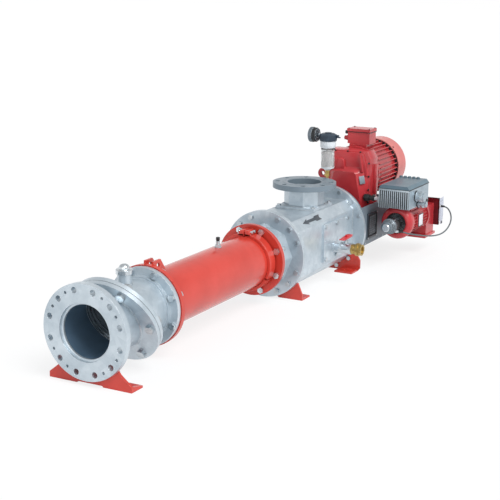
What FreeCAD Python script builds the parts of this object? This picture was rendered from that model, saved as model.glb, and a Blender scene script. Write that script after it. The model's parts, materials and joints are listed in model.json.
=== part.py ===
"""Progressive cavity pump with a geared motor and a side-mounted adjusting drive.

The frame: +X runs along the pump axis from the discharge flange to the drive, +Z is up,
and the origin is the centre of the discharge flange's face. All sizes are millimetres.
"""
import FreeCAD, Part
import math
import os
import re

import Sketcher
from FreeCAD import Placement, Rotation, Vector

# Driving sizes
PUMP_LINE = {
    "axis_height": 190,
    "pipe_dia": 219.1,
    "pipe_wall": 6.3,
    "discharge_flange_dia": 340,
    "discharge_flange_thick": 24,
    "discharge_pcd": 295,
    "discharge_holes": 12,
    "flange_hole_dia": 22,
    "oblique_station": 183,
    "oblique_tilt": 27,
    "oblique_flange_dia": 350,
    "oblique_flange_thick": 16,
    "oblique_pcd": 302,
    "oblique_bolts": 6,
    "oblique_bolt_dia": 20,
    "joint_station": 350,
    "joint_flange_dia": 295,
    "joint_flange_thick": 20,
    "joint_pcd": 268,
    "joint_bolts": 8,
    "joint_bolt_dia": 16,
    "gasket_thick": 2,
    "gasket_width": 20,
    "weld_collar_width": 8,
    "weld_collar_length": 14,
    "vent_station": 238,
    "vent_pipe_dia": 50,
    "vent_pipe_top": 151,
    "vent_hex_width": 60,
    "vent_hex_height": 18,
    "vent_dome_height": 17,
}
STATOR = {
    "stator_length": 804,
    "stator_flange_dia": 303,
    "stator_flange_thick": 20,
    "stator_tube_wall": 8,
    "lining_gap": 0.15,
    "rotor_dia": 70,
    "rotor_eccentricity": 15,
    "rotor_pitch": 200,
    "rotor_clearance": 0.6,
    "rotor_nose": 10,
    "lug_length": 78,
    "lug_height": 56,
    "lug_thick": 8,
    "lug_gap": 26,
    "lug_hole_dia": 22,
    "clamp_length": 38,
    "clamp_thick": 9,
    "clamp_split": 6,
    "probe_station": 885,
    "probe_dia": 22,
    "probe_height": 26,
}
HOUSING = {
    "adapter_length": 98,
    "adapter_flange_thick": 16,
    "adapter_flange_dia": 290,
    "adapter_small_radius": 112,
    "adapter_large_radius": 135,
    "housing_flange_dia": 374,
    "housing_flange_thick": 12,
    "housing_pcd": 334,
    "housing_bolt_dia": 14,
    "rear_bolt_dia": 12,
    "bolt_step": 22.5,
    "housing_length": 586,
    "housing_half_width": 142,
    "housing_half_height": 141.5,
    "bevel_height": 103,
    "bevel_width": 105,
    "housing_wall": 8,
    "rear_flange_dia": 406,
    "rear_flange_thick": 16,
    "rear_pcd": 372,
    "rear_bore_dia": 260,
    "rear_flat": 186,
    "inlet_station": 1660,
    "inlet_height": 253.7,
    "inlet_flange_dia": 285,
    "inlet_flange_thick": 24,
    "inlet_pcd": 240,
    "inlet_holes": 8,
    "inlet_bore_dia": 154,
    "inlet_neck_radius": 90,
    "saddle_width": 190,
    "saddle_thick": 10,
    "saddle_bolt_pitch": 168,
    "cover_station": 1561,
    "cover_length": 260,
    "cover_bottom": -83,
    "cover_height": 171,
    "cover_thick": 8,
    "cover_rim": 30,
    "cover_bolt_inset": 13,
}
VALVE = {
    "valve_station": 1673,
    "valve_level": -32,
    "nipple_dia": 34,
    "nipple_length": 28,
    "valve_length": 58,
    "valve_dia": 46,
    "valve_bore_dia": 20,
    "valve_ball_dia": 30,
    "stem_dia": 8,
    "stem_clearance": 0.05,
    "lever_level": 44,
    "lever_length": 98,
    "lever_width": 16,
    "lever_thick": 3,
    "coupling_dia": 58,
    "coupling_length": 49,
}
FEET = {
    "foot_plate_thick": 8,
    "foot_cheek_height": 20,
    "front_foot_half_width": 170,
    "middle_foot_half_width": 172,
    "rear_foot_half_width": 188,
    "foot_pad_length": 66,
    "middle_pad_length": 74,
    "foot_pad_thick": 8,
    "foot_bolt_dia": 10,
    "anchor_hole_dia": 18,
}
SHAFTS = {
    "rod_dia": 32,
    "rod_ball_dia": 48,
    "ball_clearance": 0.4,
    "rod_start": 1228,
    "rod_length": 610,
    "joint_head_dia": 64,
    "boot_gap": 2.5,
    "boot_wall": 4,
    "boot_length": 52,
    "shaft_dia": 50,
    "gear_shaft_dia": 45,
    "running_clearance": 0.05,
    "bearing_gap": 0.1,
    "seal_barrel_dia": 120,
    "seal_barrel_end": 1985,
    "seal_bore_dia": 70,
}
LANTERN = {
    "lantern_flange_dia": 400,
    "lantern_flange_thick": 16,
    "lantern_half_width": 142,
    "lantern_wall": 8,
    "lantern_top": 85,
    "lantern_bottom": -103,
    "lantern_end": 2520,
    "window_start": 2072,
    "window_length": 94,
    "window_bottom": -68,
    "window_height": 105,
    "guard_border": 11,
    "guard_thick": 5,
}
GEARBOX = {
    "gearbox_front": 2101,
    "gearbox_joint": 2151,
    "gearbox_rear": 2231,
    "gearbox_wall": 7,
    "cover_wall": 20,
    "rear_wall": 18,
    "motor_level": 215,
    "output_teeth": 45,
    "pinion_teeth": 15,
    "output_module": 4,
    "output_gear_width": 40,
    "input_gear_teeth": 59,
    "input_pinion_teeth": 17,
    "input_module": 2.5,
    "input_gear_width": 25,
    "gear_backlash": 0.5,
    "output_bearing_dia": 80,
    "small_bearing_dia": 52,
    "intermediate_shaft_dia": 25,
    "motor_shaft_dia": 28,
    "bearing_width": 14,
}
MOTOR = {
    "motor_flange_dia": 250,
    "motor_flange_thick": 15,
    "motor_frame_dia": 236,
    "motor_frame_length": 228,
    "motor_frame_wall": 10,
    "motor_fin_height": 13,
    "motor_fin_thick": 4,
    "motor_fins": 36,
    "fan_cover_dia": 272,
    "fan_cover_wall": 3,
    "fan_cover_length": 106,
    "core_dia": 140,
    "core_length": 140,
    "air_gap": 1,
    "fan_blades": 8,
    "fan_dia": 224,
    "terminal_box_start": 2261,
    "terminal_box_length": 80,
    "terminal_box_width": 116,
    "terminal_box_bottom": 348,
    "terminal_box_top": 422,
    "terminal_lid_thick": 14,
}
RESERVOIR = {
    "reservoir_station": 1929,
    "reservoir_offset": 11,
    "reservoir_dia": 63,
    "reservoir_wall": 4,
    "reservoir_bottom": 273,
    "reservoir_height": 132,
    "reservoir_cap_dia": 80,
    "reservoir_cap_height": 36,
    "fitting_bottom": 237,
    "fitting_dia": 27,
    "riser_dia": 12,
    "gauge_dia": 68,
    "gauge_reach": 84,
    "gauge_level": 430,
}
ADJUSTING_DRIVE = {
    "adjust_offset": -278,
    "adjust_level": 12,
    "adjust_cover_start": 2084,
    "adjust_cover_dia": 157,
    "adjust_cover_length": 75,
    "adjust_cover_wall": 2,
    "adjust_frame_dia": 124,
    "adjust_frame_end": 2335,
    "adjust_fin_height": 9,
    "adjust_fins": 28,
    "adjust_flange_dia": 150,
    "adjust_flange_thick": 12,
    "adjust_shaft_dia": 14,
    "adjust_fan_dia": 128,
    "encoder_start": 1958,
    "encoder_dia": 58,
    "encoder_length": 44,
    "encoder_neck_dia": 74,
    "gear_block_start": 2385,
    "gear_block_length": 105,
    "gear_block_width": 90,
    "gear_block_bottom": -100,
    "gear_block_top": 47,
    "torque_tube_dia": 84,
    "torque_tube_level": -32,
    "output_shaft_dia": 30,
    "inverter_start": 2053,
    "inverter_length": 257,
    "inverter_width": 152,
    "inverter_bottom": 88,
    "inverter_split": 180,
    "inverter_top": 198,
    "inverter_fin_pitch": 8,
    "inverter_fin_depth": 7,
    "switch_panel_thick": 4,
    "switch_box_width": 27,
    "switch_box_length": 57,
    "switch_box_bottom": -50,
    "switch_box_top": 72,
    "cable_dia": 7,
    "gland_dia": 16,
}
SIZES = {}
for group in (PUMP_LINE, STATOR, HOUSING, VALVE, FEET, SHAFTS, LANTERN, GEARBOX, MOTOR, RESERVOIR, ADJUSTING_DRIVE):
    SIZES.update(group)

# Stations that follow from the driving sizes, as formulas of them
DERIVED = {
    "pipe_bore": "pipe_dia - 2 * pipe_wall",
    "stator_start": "joint_station + joint_flange_thick + gasket_thick",
    "stator_end": "stator_start + stator_length",
    "adapter_start": "stator_end + gasket_thick",
    "adapter_end": "adapter_start + adapter_length + housing_flange_thick",
    "housing_start": "adapter_end + gasket_thick",
    "housing_body": "housing_start + housing_flange_thick",
    "rear_flange_station": "housing_body + housing_length",
    "housing_end": "rear_flange_station + rear_flange_thick",
    "lantern_start": "housing_end + gasket_thick / 2",
    "lantern_walls": "lantern_start + lantern_flange_thick",
    "intermediate_level": "output_module * (output_teeth + pinion_teeth) / 2",
    "motor_frame_start": "gearbox_rear + motor_flange_thick",
    "motor_frame_end": "motor_frame_start + motor_frame_length",
    "output_gear_start": "gearbox_rear - rear_wall - output_gear_width - 5",
    "input_gear_start": "gearbox_front + cover_wall + 9",
    "rod_end": "rod_start + rod_length",
    "adjust_cover_end": "adjust_cover_start + adjust_cover_length",
    "gear_block_side": "adjust_offset - gear_block_width / 2",
    "gear_block_inner": "adjust_offset + gear_block_width / 2",
    "torque_tube_station": "gear_block_start + gear_block_length / 2",
    "switch_box_station": "gear_block_start + gear_block_length",
}

ALONG_X = Rotation(Vector(0, 1, 0), 90)
ALONG_MINUS_X = Rotation(Vector(0, 1, 0), -90)
ALONG_Y = Rotation(Vector(1, 0, 0), -90)
ALONG_MINUS_Y = Rotation(Vector(1, 0, 0), 90)
ALONG_Z = Rotation()

doc = FreeCAD.newDocument("progressive_cavity_pump")
sheet = doc.addObject("Spreadsheet::Sheet", "sizes")


def formula(text):
    """Put the sheet's name before each of its sizes in a formula."""
    return re.sub(r"[a-z_][a-z_0-9]*", lambda word: f"sizes.{word[0]}" if word[0] in ROWS else word[0], str(text))


def number(text):
    """The present value of a formula."""
    value = sheet.evalExpression(formula(text))
    return float(getattr(value, "Value", value))


ROWS = {}
for name, value in SIZES.items():
    ROWS[name] = len(ROWS) + 1
    sheet.set(f"A{ROWS[name]}", str(value))
    sheet.setAlias(f"A{ROWS[name]}", name)
for name, text in DERIVED.items():
    written = "=" + re.sub(r"[a-z_][a-z_0-9]*", lambda word: f"A{ROWS[word[0]]}", text)
    ROWS[name] = len(ROWS) + 1
    sheet.set(f"A{ROWS[name]}", written)
    sheet.setAlias(f"A{ROWS[name]}", name)
doc.recompute()

PIECES = []

# The housing's bolts, in steps from the top: three in each quarter, none at the top, sides and bottom
HOUSING_BOLT_ANGLES = (1, 2, 3)
FOOT_BOLT_ANGLES = (150, 210)


# Building blocks
def bind(feature, **formulas):
    for prop, text in formulas.items():
        feature.setExpression(prop, formula(text))


def place(feature, at, turn=ALONG_Z):
    feature.Placement = Placement(Vector(*[number(text) for text in at]), turn)
    for axis, text in zip("xyz", at):
        feature.setExpression("Placement.Base." + axis, formula(text))


def piece(label, at=("0", "0", "0")):
    """A body of its own for one sub-part."""
    body = doc.addObject("PartDesign::Body", label)
    body.Label = label
    place(body, at)
    PIECES.append(body)
    return body


def origin_part(body, role):
    return [feature for feature in body.Origin.OriginFeatures if feature.Role == role][0]


def primitive(body, kind, name, at, turn, sizes, cut):
    feature = body.newObject(("PartDesign::Subtractive" if cut else "PartDesign::Additive") + kind, name)
    place(feature, at, turn)
    bind(feature, **sizes)
    return feature


def rod(body, name, at, dia, length, turn=ALONG_X, cut=False):
    return primitive(body, "Cylinder", name, at, turn, {"Radius": f"({dia}) / 2", "Height": length}, cut)


def cone(body, name, at, dia, end_dia, length, turn=ALONG_X, cut=False):
    sizes = {"Radius1": f"({dia}) / 2", "Radius2": f"({end_dia}) / 2", "Height": length}
    return primitive(body, "Cone", name, at, turn, sizes, cut)


def prism(body, name, at, sides, radius, length, turn=ALONG_X, cut=False):
    sizes = {"Polygon": sides, "Circumradius": radius, "Height": length}
    return primitive(body, "Prism", name, at, turn, sizes, cut)


def block(body, name, at, size, cut=False):
    return primitive(body, "Box", name, at, ALONG_Z, dict(zip(("Length", "Width", "Height"), size)), cut)


def ball(body, name, at, dia, cut=False):
    return primitive(body, "Sphere", name, at, ALONG_Z, {"Radius": f"({dia}) / 2"}, cut)


def on_circle(pcd, angle):
    """Y and Z of a point on a bolt circle about X, the angle counted from +Z."""
    return f"({pcd}) / 2 * sin({angle})", f"({pcd}) / 2 * cos({angle})"


def ring(body, name, features, count, axis="X_Axis"):
    """Repeat features in a full circle about one of the body's axes."""
    pattern = body.newObject("PartDesign::PolarPattern", name)
    pattern.Originals = features
    pattern.Axis = axis if isinstance(axis, tuple) else (origin_part(body, axis), [""])
    pattern.Angle = 360
    bind(pattern, Occurrences=count)
    body.Tip = pattern
    return pattern


def row(body, name, features, count, length, axis="X_Axis"):
    """Repeat features in a straight row along one of the body's axes."""
    pattern = body.newObject("PartDesign::LinearPattern", name)
    pattern.Originals = features
    pattern.Direction = (origin_part(body, axis), [""])
    bind(pattern, Occurrences=count, Length=length)
    body.Tip = pattern
    return pattern


def sketch(body, name, plane, station="0", tilt=None):
    """A sketch on one of the body's planes, set off along its normal and tilted about its first axis."""
    made = body.newObject("Sketcher::SketchObject", name)
    made.AttachmentSupport = [(origin_part(body, plane), "")]
    made.MapMode = "FlatFace"
    if tilt is not None:
        made.AttachmentOffset = Placement(Vector(0, 0, 0), Rotation(Vector(1, 0, 0), -number(tilt)))
        bind(made, **{"AttachmentOffset.Rotation.Angle": f"-({tilt})"})
    bind(made, **{"AttachmentOffset.Base.z": station})
    return made


def outline(made, points):
    """A closed outline through points whose two distances follow the sheet."""
    first = made.GeometryCount
    spots = [Vector(number(u), number(v), 0) for u, v in points]
    made.addGeometry([Part.LineSegment(a, b) for a, b in zip(spots, spots[1:] + spots[:1])])
    for i, (u, v) in enumerate(points):
        line = first + i
        made.addConstraint(Sketcher.Constraint("Coincident", line, 2, first + (i + 1) % len(points), 1))
        for kind, text, value in (("DistanceX", u, spots[i].x), ("DistanceY", v, spots[i].y)):
            label = f"{kind[-1].lower()}{line}"
            index = made.addConstraint(Sketcher.Constraint(kind, -1, 1, line, 1, value))
            made.renameConstraint(index, label)
            bind(made, **{f"Constraints.{label}": text})


def circle(made, radius, centre=("0", "0")):
    """A circle whose place and radius follow the sheet."""
    spot = Vector(number(centre[0]), number(centre[1]), 0)
    line = made.addGeometry(Part.Circle(spot, Vector(0, 0, 1), number(radius)))
    for kind, text, value in (("DistanceX", centre[0], spot.x), ("DistanceY", centre[1], spot.y)):
        label = f"{kind[-1].lower()}{line}"
        index = made.addConstraint(Sketcher.Constraint(kind, -1, 1, line, 3, value))
        made.renameConstraint(index, label)
        bind(made, **{f"Constraints.{label}": text})
    index = made.addConstraint(Sketcher.Constraint("Radius", line, number(radius)))
    made.renameConstraint(index, f"radius{line}")
    bind(made, **{f"Constraints.radius{line}": radius})


def pad(body, name, profile, length, reverse=False):
    feature = body.newObject("PartDesign::Pad", name)
    feature.Profile = profile
    feature.Reversed = reverse
    bind(feature, Length=length)
    return feature


def pocket(body, name, profile, length, reverse=False):
    feature = body.newObject("PartDesign::Pocket", name)
    feature.Profile = profile
    feature.Reversed = reverse
    bind(feature, Length=length)
    return feature


def loft(body, name, start, end, cut=False):
    feature = body.newObject("PartDesign::SubtractiveLoft" if cut else "PartDesign::AdditiveLoft", name)
    feature.Profile = start
    feature.Sections = [end]
    feature.Ruled = True
    return feature


def plate(body, name, plane, points, station, length, reverse=False, cut=False):
    """A pad or pocket of one closed outline."""
    profile = sketch(body, name + "_outline", plane, station)
    outline(profile, points)
    return (pocket if cut else pad)(body, name, profile, length, reverse)


def turned(body, name, points, cut=False, plane="XZ_Plane", axis="X_Axis"):
    """A revolution of one closed profile about one of the body's axes."""
    profile = sketch(body, name + "_profile", plane)
    outline(profile, points)
    feature = body.newObject("PartDesign::Groove" if cut else "PartDesign::Revolution", name)
    feature.Profile = profile
    feature.ReferenceAxis = (origin_part(body, axis), [""])
    feature.Angle = 360
    return feature


def set_shape(label, shape, at=("0", "0", "0"), turn=ALONG_Z):
    """A sub-part whose shape comes from Part's own functions."""
    feature = doc.addObject("Part::Feature", label)
    feature.Label = label
    feature.Shape = shape
    place(feature, at, turn)
    PIECES.append(feature)
    return feature


def bolt(body, name, station, grip, pcd, angle, dia, count="1", nut=True):
    """Hexagon bolts along X: head before the station, shank through the grip, nut behind it."""
    y, z = on_circle(pcd, angle)
    corner = f"({dia}) * 0.87"
    reach = f"{grip} + ({dia}) * 1.1" if nut else grip
    head = prism(body, name + "_head", (f"{station} - ({dia}) * 0.62", y, z), "6", corner, f"({dia}) * 0.62")
    if count != "1":
        ring(body, name + "_heads", [head], count)
    shank = rod(body, name + "_shank", (station, y, z), dia, reach)
    if count != "1":
        ring(body, name + "_shanks", [shank], count)
    if nut:
        last = prism(body, name + "_nut", (f"{station} + {grip}", y, z), "6", corner, f"({dia}) * 0.8")
        if count != "1":
            ring(body, name + "_nuts", [last], count)


def bolt_holes(body, name, station, length, pcd, angle, dia, count):
    """A ring of holes along X through a flange."""
    y, z = on_circle(pcd, angle)
    hole = rod(body, name, (f"{station} - 1", y, z), dia, f"{length} + 2", cut=True)
    ring(body, name + "s", [hole], count)


# Pump line
def oblique_sketch(body, name, distance="0"):
    """A sketch square to the slanted joint's axis, a distance along it from the joint's middle."""
    made = sketch(body, name, "YZ_Plane", f"oblique_station + ({distance}) * cos(oblique_tilt)", "oblique_tilt")
    bind(made, **{"AttachmentOffset.Base.y": f"({distance}) * sin(oblique_tilt)"})
    return made


def oblique_disc(body, name, dia, distance, thick, reverse=False):
    profile = oblique_sketch(body, name + "_outline", distance)
    circle(profile, f"({dia}) / 2")
    pad(body, name, profile, thick, reverse)
    return profile


OBLIQUE_TURN = Rotation(Vector(0, 1, 0), 90 - SIZES["oblique_tilt"])
OBLIQUE_BACK = Rotation(Vector(0, 1, 0), 270 - SIZES["oblique_tilt"])


def oblique_point(distance):
    """A point on the slanted joint's axis, a distance along it from the joint's middle."""
    return f"oblique_station + ({distance}) * cos(oblique_tilt)", "0", f"({distance}) * sin(oblique_tilt)"


def oblique_trim(body, backwards):
    """Cut away what lies past the slanted joint."""
    start = oblique_point("-gasket_thick / 2" if backwards else "gasket_thick / 2")
    turn = OBLIQUE_TURN if backwards else OBLIQUE_BACK
    feature = rod(body, "joint_trim", start, "oblique_flange_dia * 1.6", "joint_station", turn, cut=True)
    bind(feature, **{"Placement.Rotation.Angle": "90 - oblique_tilt" if backwards else "270 - oblique_tilt"})
    return feature


def oblique_flange(body, side):
    """The slanted flange, before (side -1) or behind (side 1) the gasket."""
    return oblique_disc(body, "slant_flange", "oblique_flange_dia", f"{side} * gasket_thick / 2", "oblique_flange_thick", side < 0)


def oblique_holes(body, profile, side):
    hole = oblique_sketch(body, "slant_hole", f"-({side}) * 5")
    circle(hole, "oblique_bolt_dia / 2 + 0.5", ("-oblique_pcd / 2", "0"))
    cut = pocket(body, "slant_hole_cut", hole, "oblique_flange_thick + 14", reverse=side > 0)
    ring(body, "slant_holes", [cut], "oblique_bolts", (profile, ["N_Axis"]))


def discharge_nozzle():
    body = piece("discharge_nozzle")
    rod(body, "flange", ("0", "0", "0"), "discharge_flange_dia", "discharge_flange_thick")
    cone(body, "hub", ("discharge_flange_thick", "0", "0"), "pipe_dia + 26", "pipe_dia", "22")
    rod(body, "pipe", ("0", "0", "0"), "pipe_dia", "joint_station - 60")
    oblique_trim(body, True)
    profile = oblique_flange(body, -1)
    rod(body, "bore", ("-1", "0", "0"), "pipe_bore", "joint_station", cut=True)
    bolt_holes(body, "bolt_hole", "0", "discharge_flange_thick", "discharge_pcd", "15", "flange_hole_dia", "discharge_holes")
    for angle in (30, 60, 120, 150):
        bolt_holes(body, f"foot_hole_{angle}", "0", "discharge_flange_thick", "discharge_pcd + 3", angle, "foot_bolt_dia + 1", "2")
    oblique_holes(body, profile, -1)


def outlet_adapter():
    body = piece("outlet_adapter")
    rod(body, "pipe", ("60", "0", "0"), "pipe_dia", "joint_station - 60")
    oblique_trim(body, False)
    profile = oblique_flange(body, 1)
    rod(body, "flange", ("joint_station", "0", "0"), "joint_flange_dia", "joint_flange_thick")
    collar = "pipe_dia + 2 * weld_collar_width"
    rod(body, "collar", ("joint_station - weld_collar_length", "0", "0"), collar, "weld_collar_length")
    rod(body, "vent_pipe", ("vent_station", "0", "pipe_dia / 2 - 12"), "vent_pipe_dia", "vent_pipe_top - pipe_dia / 2 + 12", ALONG_Z)
    rod(body, "bore", ("0", "0", "0"), "pipe_bore", "joint_station + joint_flange_thick + 1", cut=True)
    rod(body, "vent_bore", ("vent_station", "0", "0"), "vent_pipe_dia - 12", "vent_pipe_top + 1", ALONG_Z, cut=True)
    bolt_holes(body, "bolt_hole", "joint_station", "joint_flange_thick", "joint_pcd", "22.5", "joint_bolt_dia + 1", "joint_bolts")
    oblique_holes(body, profile, 1)


def flange_gaskets():
    body = piece("flange_gaskets")
    oblique_disc(body, "slant_gasket", "oblique_pcd - 28", "-gasket_thick / 2", "gasket_thick")
    outer = "pipe_dia + gasket_width"
    rod(body, "front_gasket", ("joint_station + joint_flange_thick", "0", "0"), outer, "gasket_thick")
    rod(body, "stator_gasket", ("stator_end", "0", "0"), outer, "gasket_thick")
    rod(body, "housing_gasket", ("adapter_end", "0", "0"), "housing_pcd - 24", "gasket_thick")
    rod(body, "rear_gasket", ("housing_end", "0", "0"), "rear_pcd - 24", "gasket_thick / 2")
    rod(body, "bore", ("0", "0", "0"), "pipe_bore", "adapter_end - 1", cut=True)
    rod(body, "rear_bore", ("adapter_end - 1", "0", "0"), "rear_bore_dia", "housing_end", cut=True)


def oblique_flange_bolts():
    body = piece("oblique_flange_bolts")
    stack = "(oblique_flange_thick + gasket_thick / 2)"
    corner = "oblique_bolt_dia * 0.87"
    spot = ("-oblique_pcd / 2", "0")
    head = oblique_sketch(body, "head_outline", f"-{stack} - oblique_bolt_dia * 0.62")
    hexagon(head, corner, spot)
    shank = oblique_sketch(body, "shank_outline", f"-{stack}")
    circle(shank, "oblique_bolt_dia / 2", spot)
    nut = oblique_sketch(body, "nut_outline", stack)
    hexagon(nut, corner, spot)
    features = [pad(body, "head", head, "oblique_bolt_dia * 0.62"), pad(body, "shank", shank, f"2 * {stack} + oblique_bolt_dia * 1.1"),
                pad(body, "nut", nut, "oblique_bolt_dia * 0.8")]
    axis = oblique_sketch(body, "slant_axis")
    circle(axis, "oblique_bolt_dia")
    ring(body, "bolts", features, "oblique_bolts", (axis, ["N_Axis"]))


def hexagon(made, radius, centre):
    """A hexagon about a point of the sketch, one corner along the first axis."""
    corners = []
    for i in range(6):
        u = f"{centre[0]} + {radius} * cos({60 * i})"
        v = f"{centre[1]} + {radius} * sin({60 * i})"
        corners.append((u, v))
    outline(made, corners)


def vent_plug():
    body = piece("vent_plug", ("vent_station", "0", "vent_pipe_top"))
    ball(body, "dome", ("0", "0", "vent_hex_height + vent_dome_height - 24"), "48")
    block(body, "dome_trim", ("-40", "-40", "-40"), ("80", "80", "40"), cut=True)
    prism(body, "hexagon", ("0", "0", "0"), "6", "vent_hex_width / 2 / cos(30)", "vent_hex_height", ALONG_Z)
    cone(body, "shoulder", ("0", "0", "vent_hex_height"), "46", "40", "5", ALONG_Z)
    rod(body, "thread", ("0", "0", "-14"), "vent_pipe_dia - 13", "14", ALONG_Z)


# Feet
def above_floor(points):
    """Points of an outline whose heights are counted from the floor."""
    return [(u, f"{v} - axis_height") for u, v in points]


def both_sides(points):
    """An outline from its right half, which runs from the middle of the bottom to the middle of the top."""
    left = [(f"-({u})", v) for u, v in reversed(points)]
    return points + left


def foot_pad(body, name, start, width, length, back=False):
    """A pad on the floor with an anchor hole, in front of the plate or behind it."""
    side = "-" if back else "+"
    block(body, name, (f"-({length}) + foot_plate_thick" if back else "0", start, "-axis_height"), (length, width, "foot_pad_thick"))
    middle = (f"foot_plate_thick / 2 {side} ({length}) / 2", f"{start} + ({width}) / 2", "-axis_height - 1")
    rod(body, name + "_anchor", middle, "anchor_hole_dia", "foot_pad_thick + 2", ALONG_Z, cut=True)


def front_foot():
    """A folded plate under the discharge flange, with a raised middle and two pads."""
    body = piece("front_foot", ("discharge_flange_thick", "0", "0"))
    w = "front_foot_half_width"
    half = [("44", "16"), ("54", "0"), (w, "0"), (w, "foot_cheek_height"), ("125", "56"), ("100", "92")]
    plate(body, "upright", "YZ_Plane", above_floor(both_sides(half)), "0", "foot_plate_thick")
    for name, start in (("left", "54"), ("right", f"-{w}")):
        foot_pad(body, "pad_" + name, start, f"{w} - 54", "foot_pad_length")
    cheek = [("0", "0"), ("foot_pad_length", "0"), ("foot_pad_length", "foot_pad_thick"), ("foot_plate_thick", "foot_cheek_height"),
             ("0", "foot_cheek_height")]
    for name, start in (("left", f"-{w}"), ("right", f"{w} - foot_plate_thick")):
        plate(body, "cheek_" + name, "XZ_Plane", above_floor(cheek), start, "foot_plate_thick")
    rod(body, "pipe_room", ("-1", "0", "0"), "pipe_dia + 40", "foot_plate_thick + 2", cut=True)
    for angle in FOOT_BOLT_ANGLES:
        y, z = on_circle("discharge_pcd + 3", angle)
        rod(body, f"screw_hole_{angle}", ("-1", y, z), "foot_bolt_dia + 1", "foot_plate_thick + 2", cut=True)


def housing_room(body):
    """Clear the housing's outline, and a little more, out of a foot's plate."""
    plate(body, "housing_room", "YZ_Plane", housing_section("-0.5"), "foot_plate_thick + 1", "foot_plate_thick + 2", cut=True)


def middle_foot():
    """A folded plate behind the housing's front flange, with a gusset on each pad."""
    body = piece("middle_foot", ("housing_body", "0", "0"))
    w = "middle_foot_half_width"
    half = [("48", "12"), ("60", "0"), (w, "0"), (w, "24"), ("150", "74")]
    plate(body, "upright", "YZ_Plane", above_floor(both_sides(half)), "0", "foot_plate_thick")
    housing_room(body)
    for name, start in (("left", "60"), ("right", f"-{w}")):
        foot_pad(body, "pad_" + name, start, f"{w} - 60", "middle_pad_length")
    gusset = [("0", "0"), ("middle_pad_length", "0"), ("middle_pad_length", "foot_pad_thick + 4"), ("foot_plate_thick", "44"), ("0", "44")]
    for name, start in (("left", "-90"), ("right", "82")):
        plate(body, "gusset_" + name, "XZ_Plane", above_floor(gusset), start, "foot_plate_thick")
    for angle in (7, 9):
        y, z = on_circle("housing_pcd", f"{angle} * bolt_step")
        rod(body, f"screw_hole_{angle}", ("-1", y, z), "housing_bolt_dia + 1", "foot_plate_thick + 2", cut=True)


def rear_foot():
    """A bridge plate with a lobe at each end, bolted in front of the housing's rear flange."""
    body = piece("rear_foot", ("rear_flange_station - foot_plate_thick", "0", "0"))
    w = "rear_foot_half_width"
    half = [(f"{w} - 12", "0"), (w, "14"), (w, "52"), (f"{w} - 18", "80"), ("150", "88"), ("110", "88"), ("98", "46"), ("84", "30")]
    plate(body, "bridge", "YZ_Plane", above_floor(both_sides(half)), "0", "foot_plate_thick")
    housing_room(body)
    for name, start in (("left", "88"), ("right", f"-{w} + 12")):
        foot_pad(body, "pad_" + name, start, f"{w} - 100", "middle_pad_length", back=True)
    for angle in (6, 7, 9, 10):
        y, z = on_circle("rear_pcd", f"{angle} * bolt_step")
        rod(body, f"screw_hole_{angle}", ("-1", y, z), "rear_bolt_dia + 1", "foot_plate_thick + 2", cut=True)


def foot_bolts():
    """Screws that hold the front foot to the discharge flange."""
    body = piece("foot_bolts")
    end = "discharge_flange_thick + foot_plate_thick"
    for angle in FOOT_BOLT_ANGLES:
        y, z = on_circle("discharge_pcd + 3", angle)
        rod(body, f"shank_{angle}", (f"{end} - 22", y, z), "foot_bolt_dia", "22")
        prism(body, f"head_{angle}", (end, y, z), "6", "foot_bolt_dia * 0.95", "foot_bolt_dia * 0.65")


# Stator and rotor
def stator_tube():
    body = piece("stator_tube")
    inner = "pipe_dia / 2 - stator_tube_wall"
    flange = "stator_flange_dia / 2"
    points = [("stator_start", inner), ("stator_start", flange), ("stator_start + stator_flange_thick", flange),
              ("stator_start + stator_flange_thick", "pipe_dia / 2"), ("stator_end - stator_flange_thick", "pipe_dia / 2"),
              ("stator_end - stator_flange_thick", flange), ("stator_end", flange), ("stator_end", inner)]
    turned(body, "tube", points)
    lug_start = "stator_start + stator_flange_thick - 1"
    lugs = []
    for side, y in (("left", "lug_gap / 2 + lug_thick"), ("right", "-lug_gap / 2")):
        base = "pipe_dia / 2 - 4"
        points = [(lug_start, base), (f"{lug_start} + lug_length", base), (f"{lug_start} + lug_length", f"{base} + 14"),
                  (f"{lug_start} + lug_length * 0.6", f"{base} + lug_height"), (lug_start, f"{base} + lug_height")]
        lugs.append(plate(body, "lug_" + side, "XZ_Plane", points, f"-({y})", "lug_thick"))
    rod(body, "lug_hole", (f"{lug_start} + lug_length * 0.38", "-lug_gap", "pipe_dia / 2 + lug_height - 26"), "lug_hole_dia", "2 * lug_gap",
        ALONG_Y, cut=True)
    for name, station in (("front_hole", "stator_start"), ("rear_hole", "stator_end - stator_flange_thick")):
        bolt_holes(body, name, station, "stator_flange_thick", "joint_pcd", "22.5", "joint_bolt_dia + 1", "joint_bolts")


def stator_bolts():
    body = piece("stator_bolts")
    grip = "joint_flange_thick + gasket_thick + stator_flange_thick"
    bolt(body, "front", "joint_station", grip, "joint_pcd", "22.5", "joint_bolt_dia", "joint_bolts")
    grip = "stator_flange_thick + gasket_thick + adapter_flange_thick"
    bolt(body, "rear", "stator_end - stator_flange_thick", grip, "joint_pcd", "22.5", "joint_bolt_dia", "joint_bolts")


# The rotor rests at the bottom of its orbit; angles are counted from +Y towards +Z
UP = math.pi / 2


def slot_section(station, width, travel, angle):
    """The stator's cavity at one station: an obround, its long way at an angle from +Y."""
    r = width / 2
    along = Vector(0, math.cos(angle), math.sin(angle))
    across = Vector(0, -math.sin(angle), math.cos(angle))
    centre = Vector(station, 0, 0)
    a, b = centre - along * travel, centre + along * travel
    corners = [a - across * r, b - across * r, b + along * r, b + across * r, a + across * r, a - along * r]
    edges = [Part.LineSegment(corners[0], corners[1]).toShape(), Part.Arc(corners[1], corners[2], corners[3]).toShape(),
             Part.LineSegment(corners[3], corners[4]).toShape(), Part.Arc(corners[4], corners[5], corners[0]).toShape()]
    return Part.Wire(edges)


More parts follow.
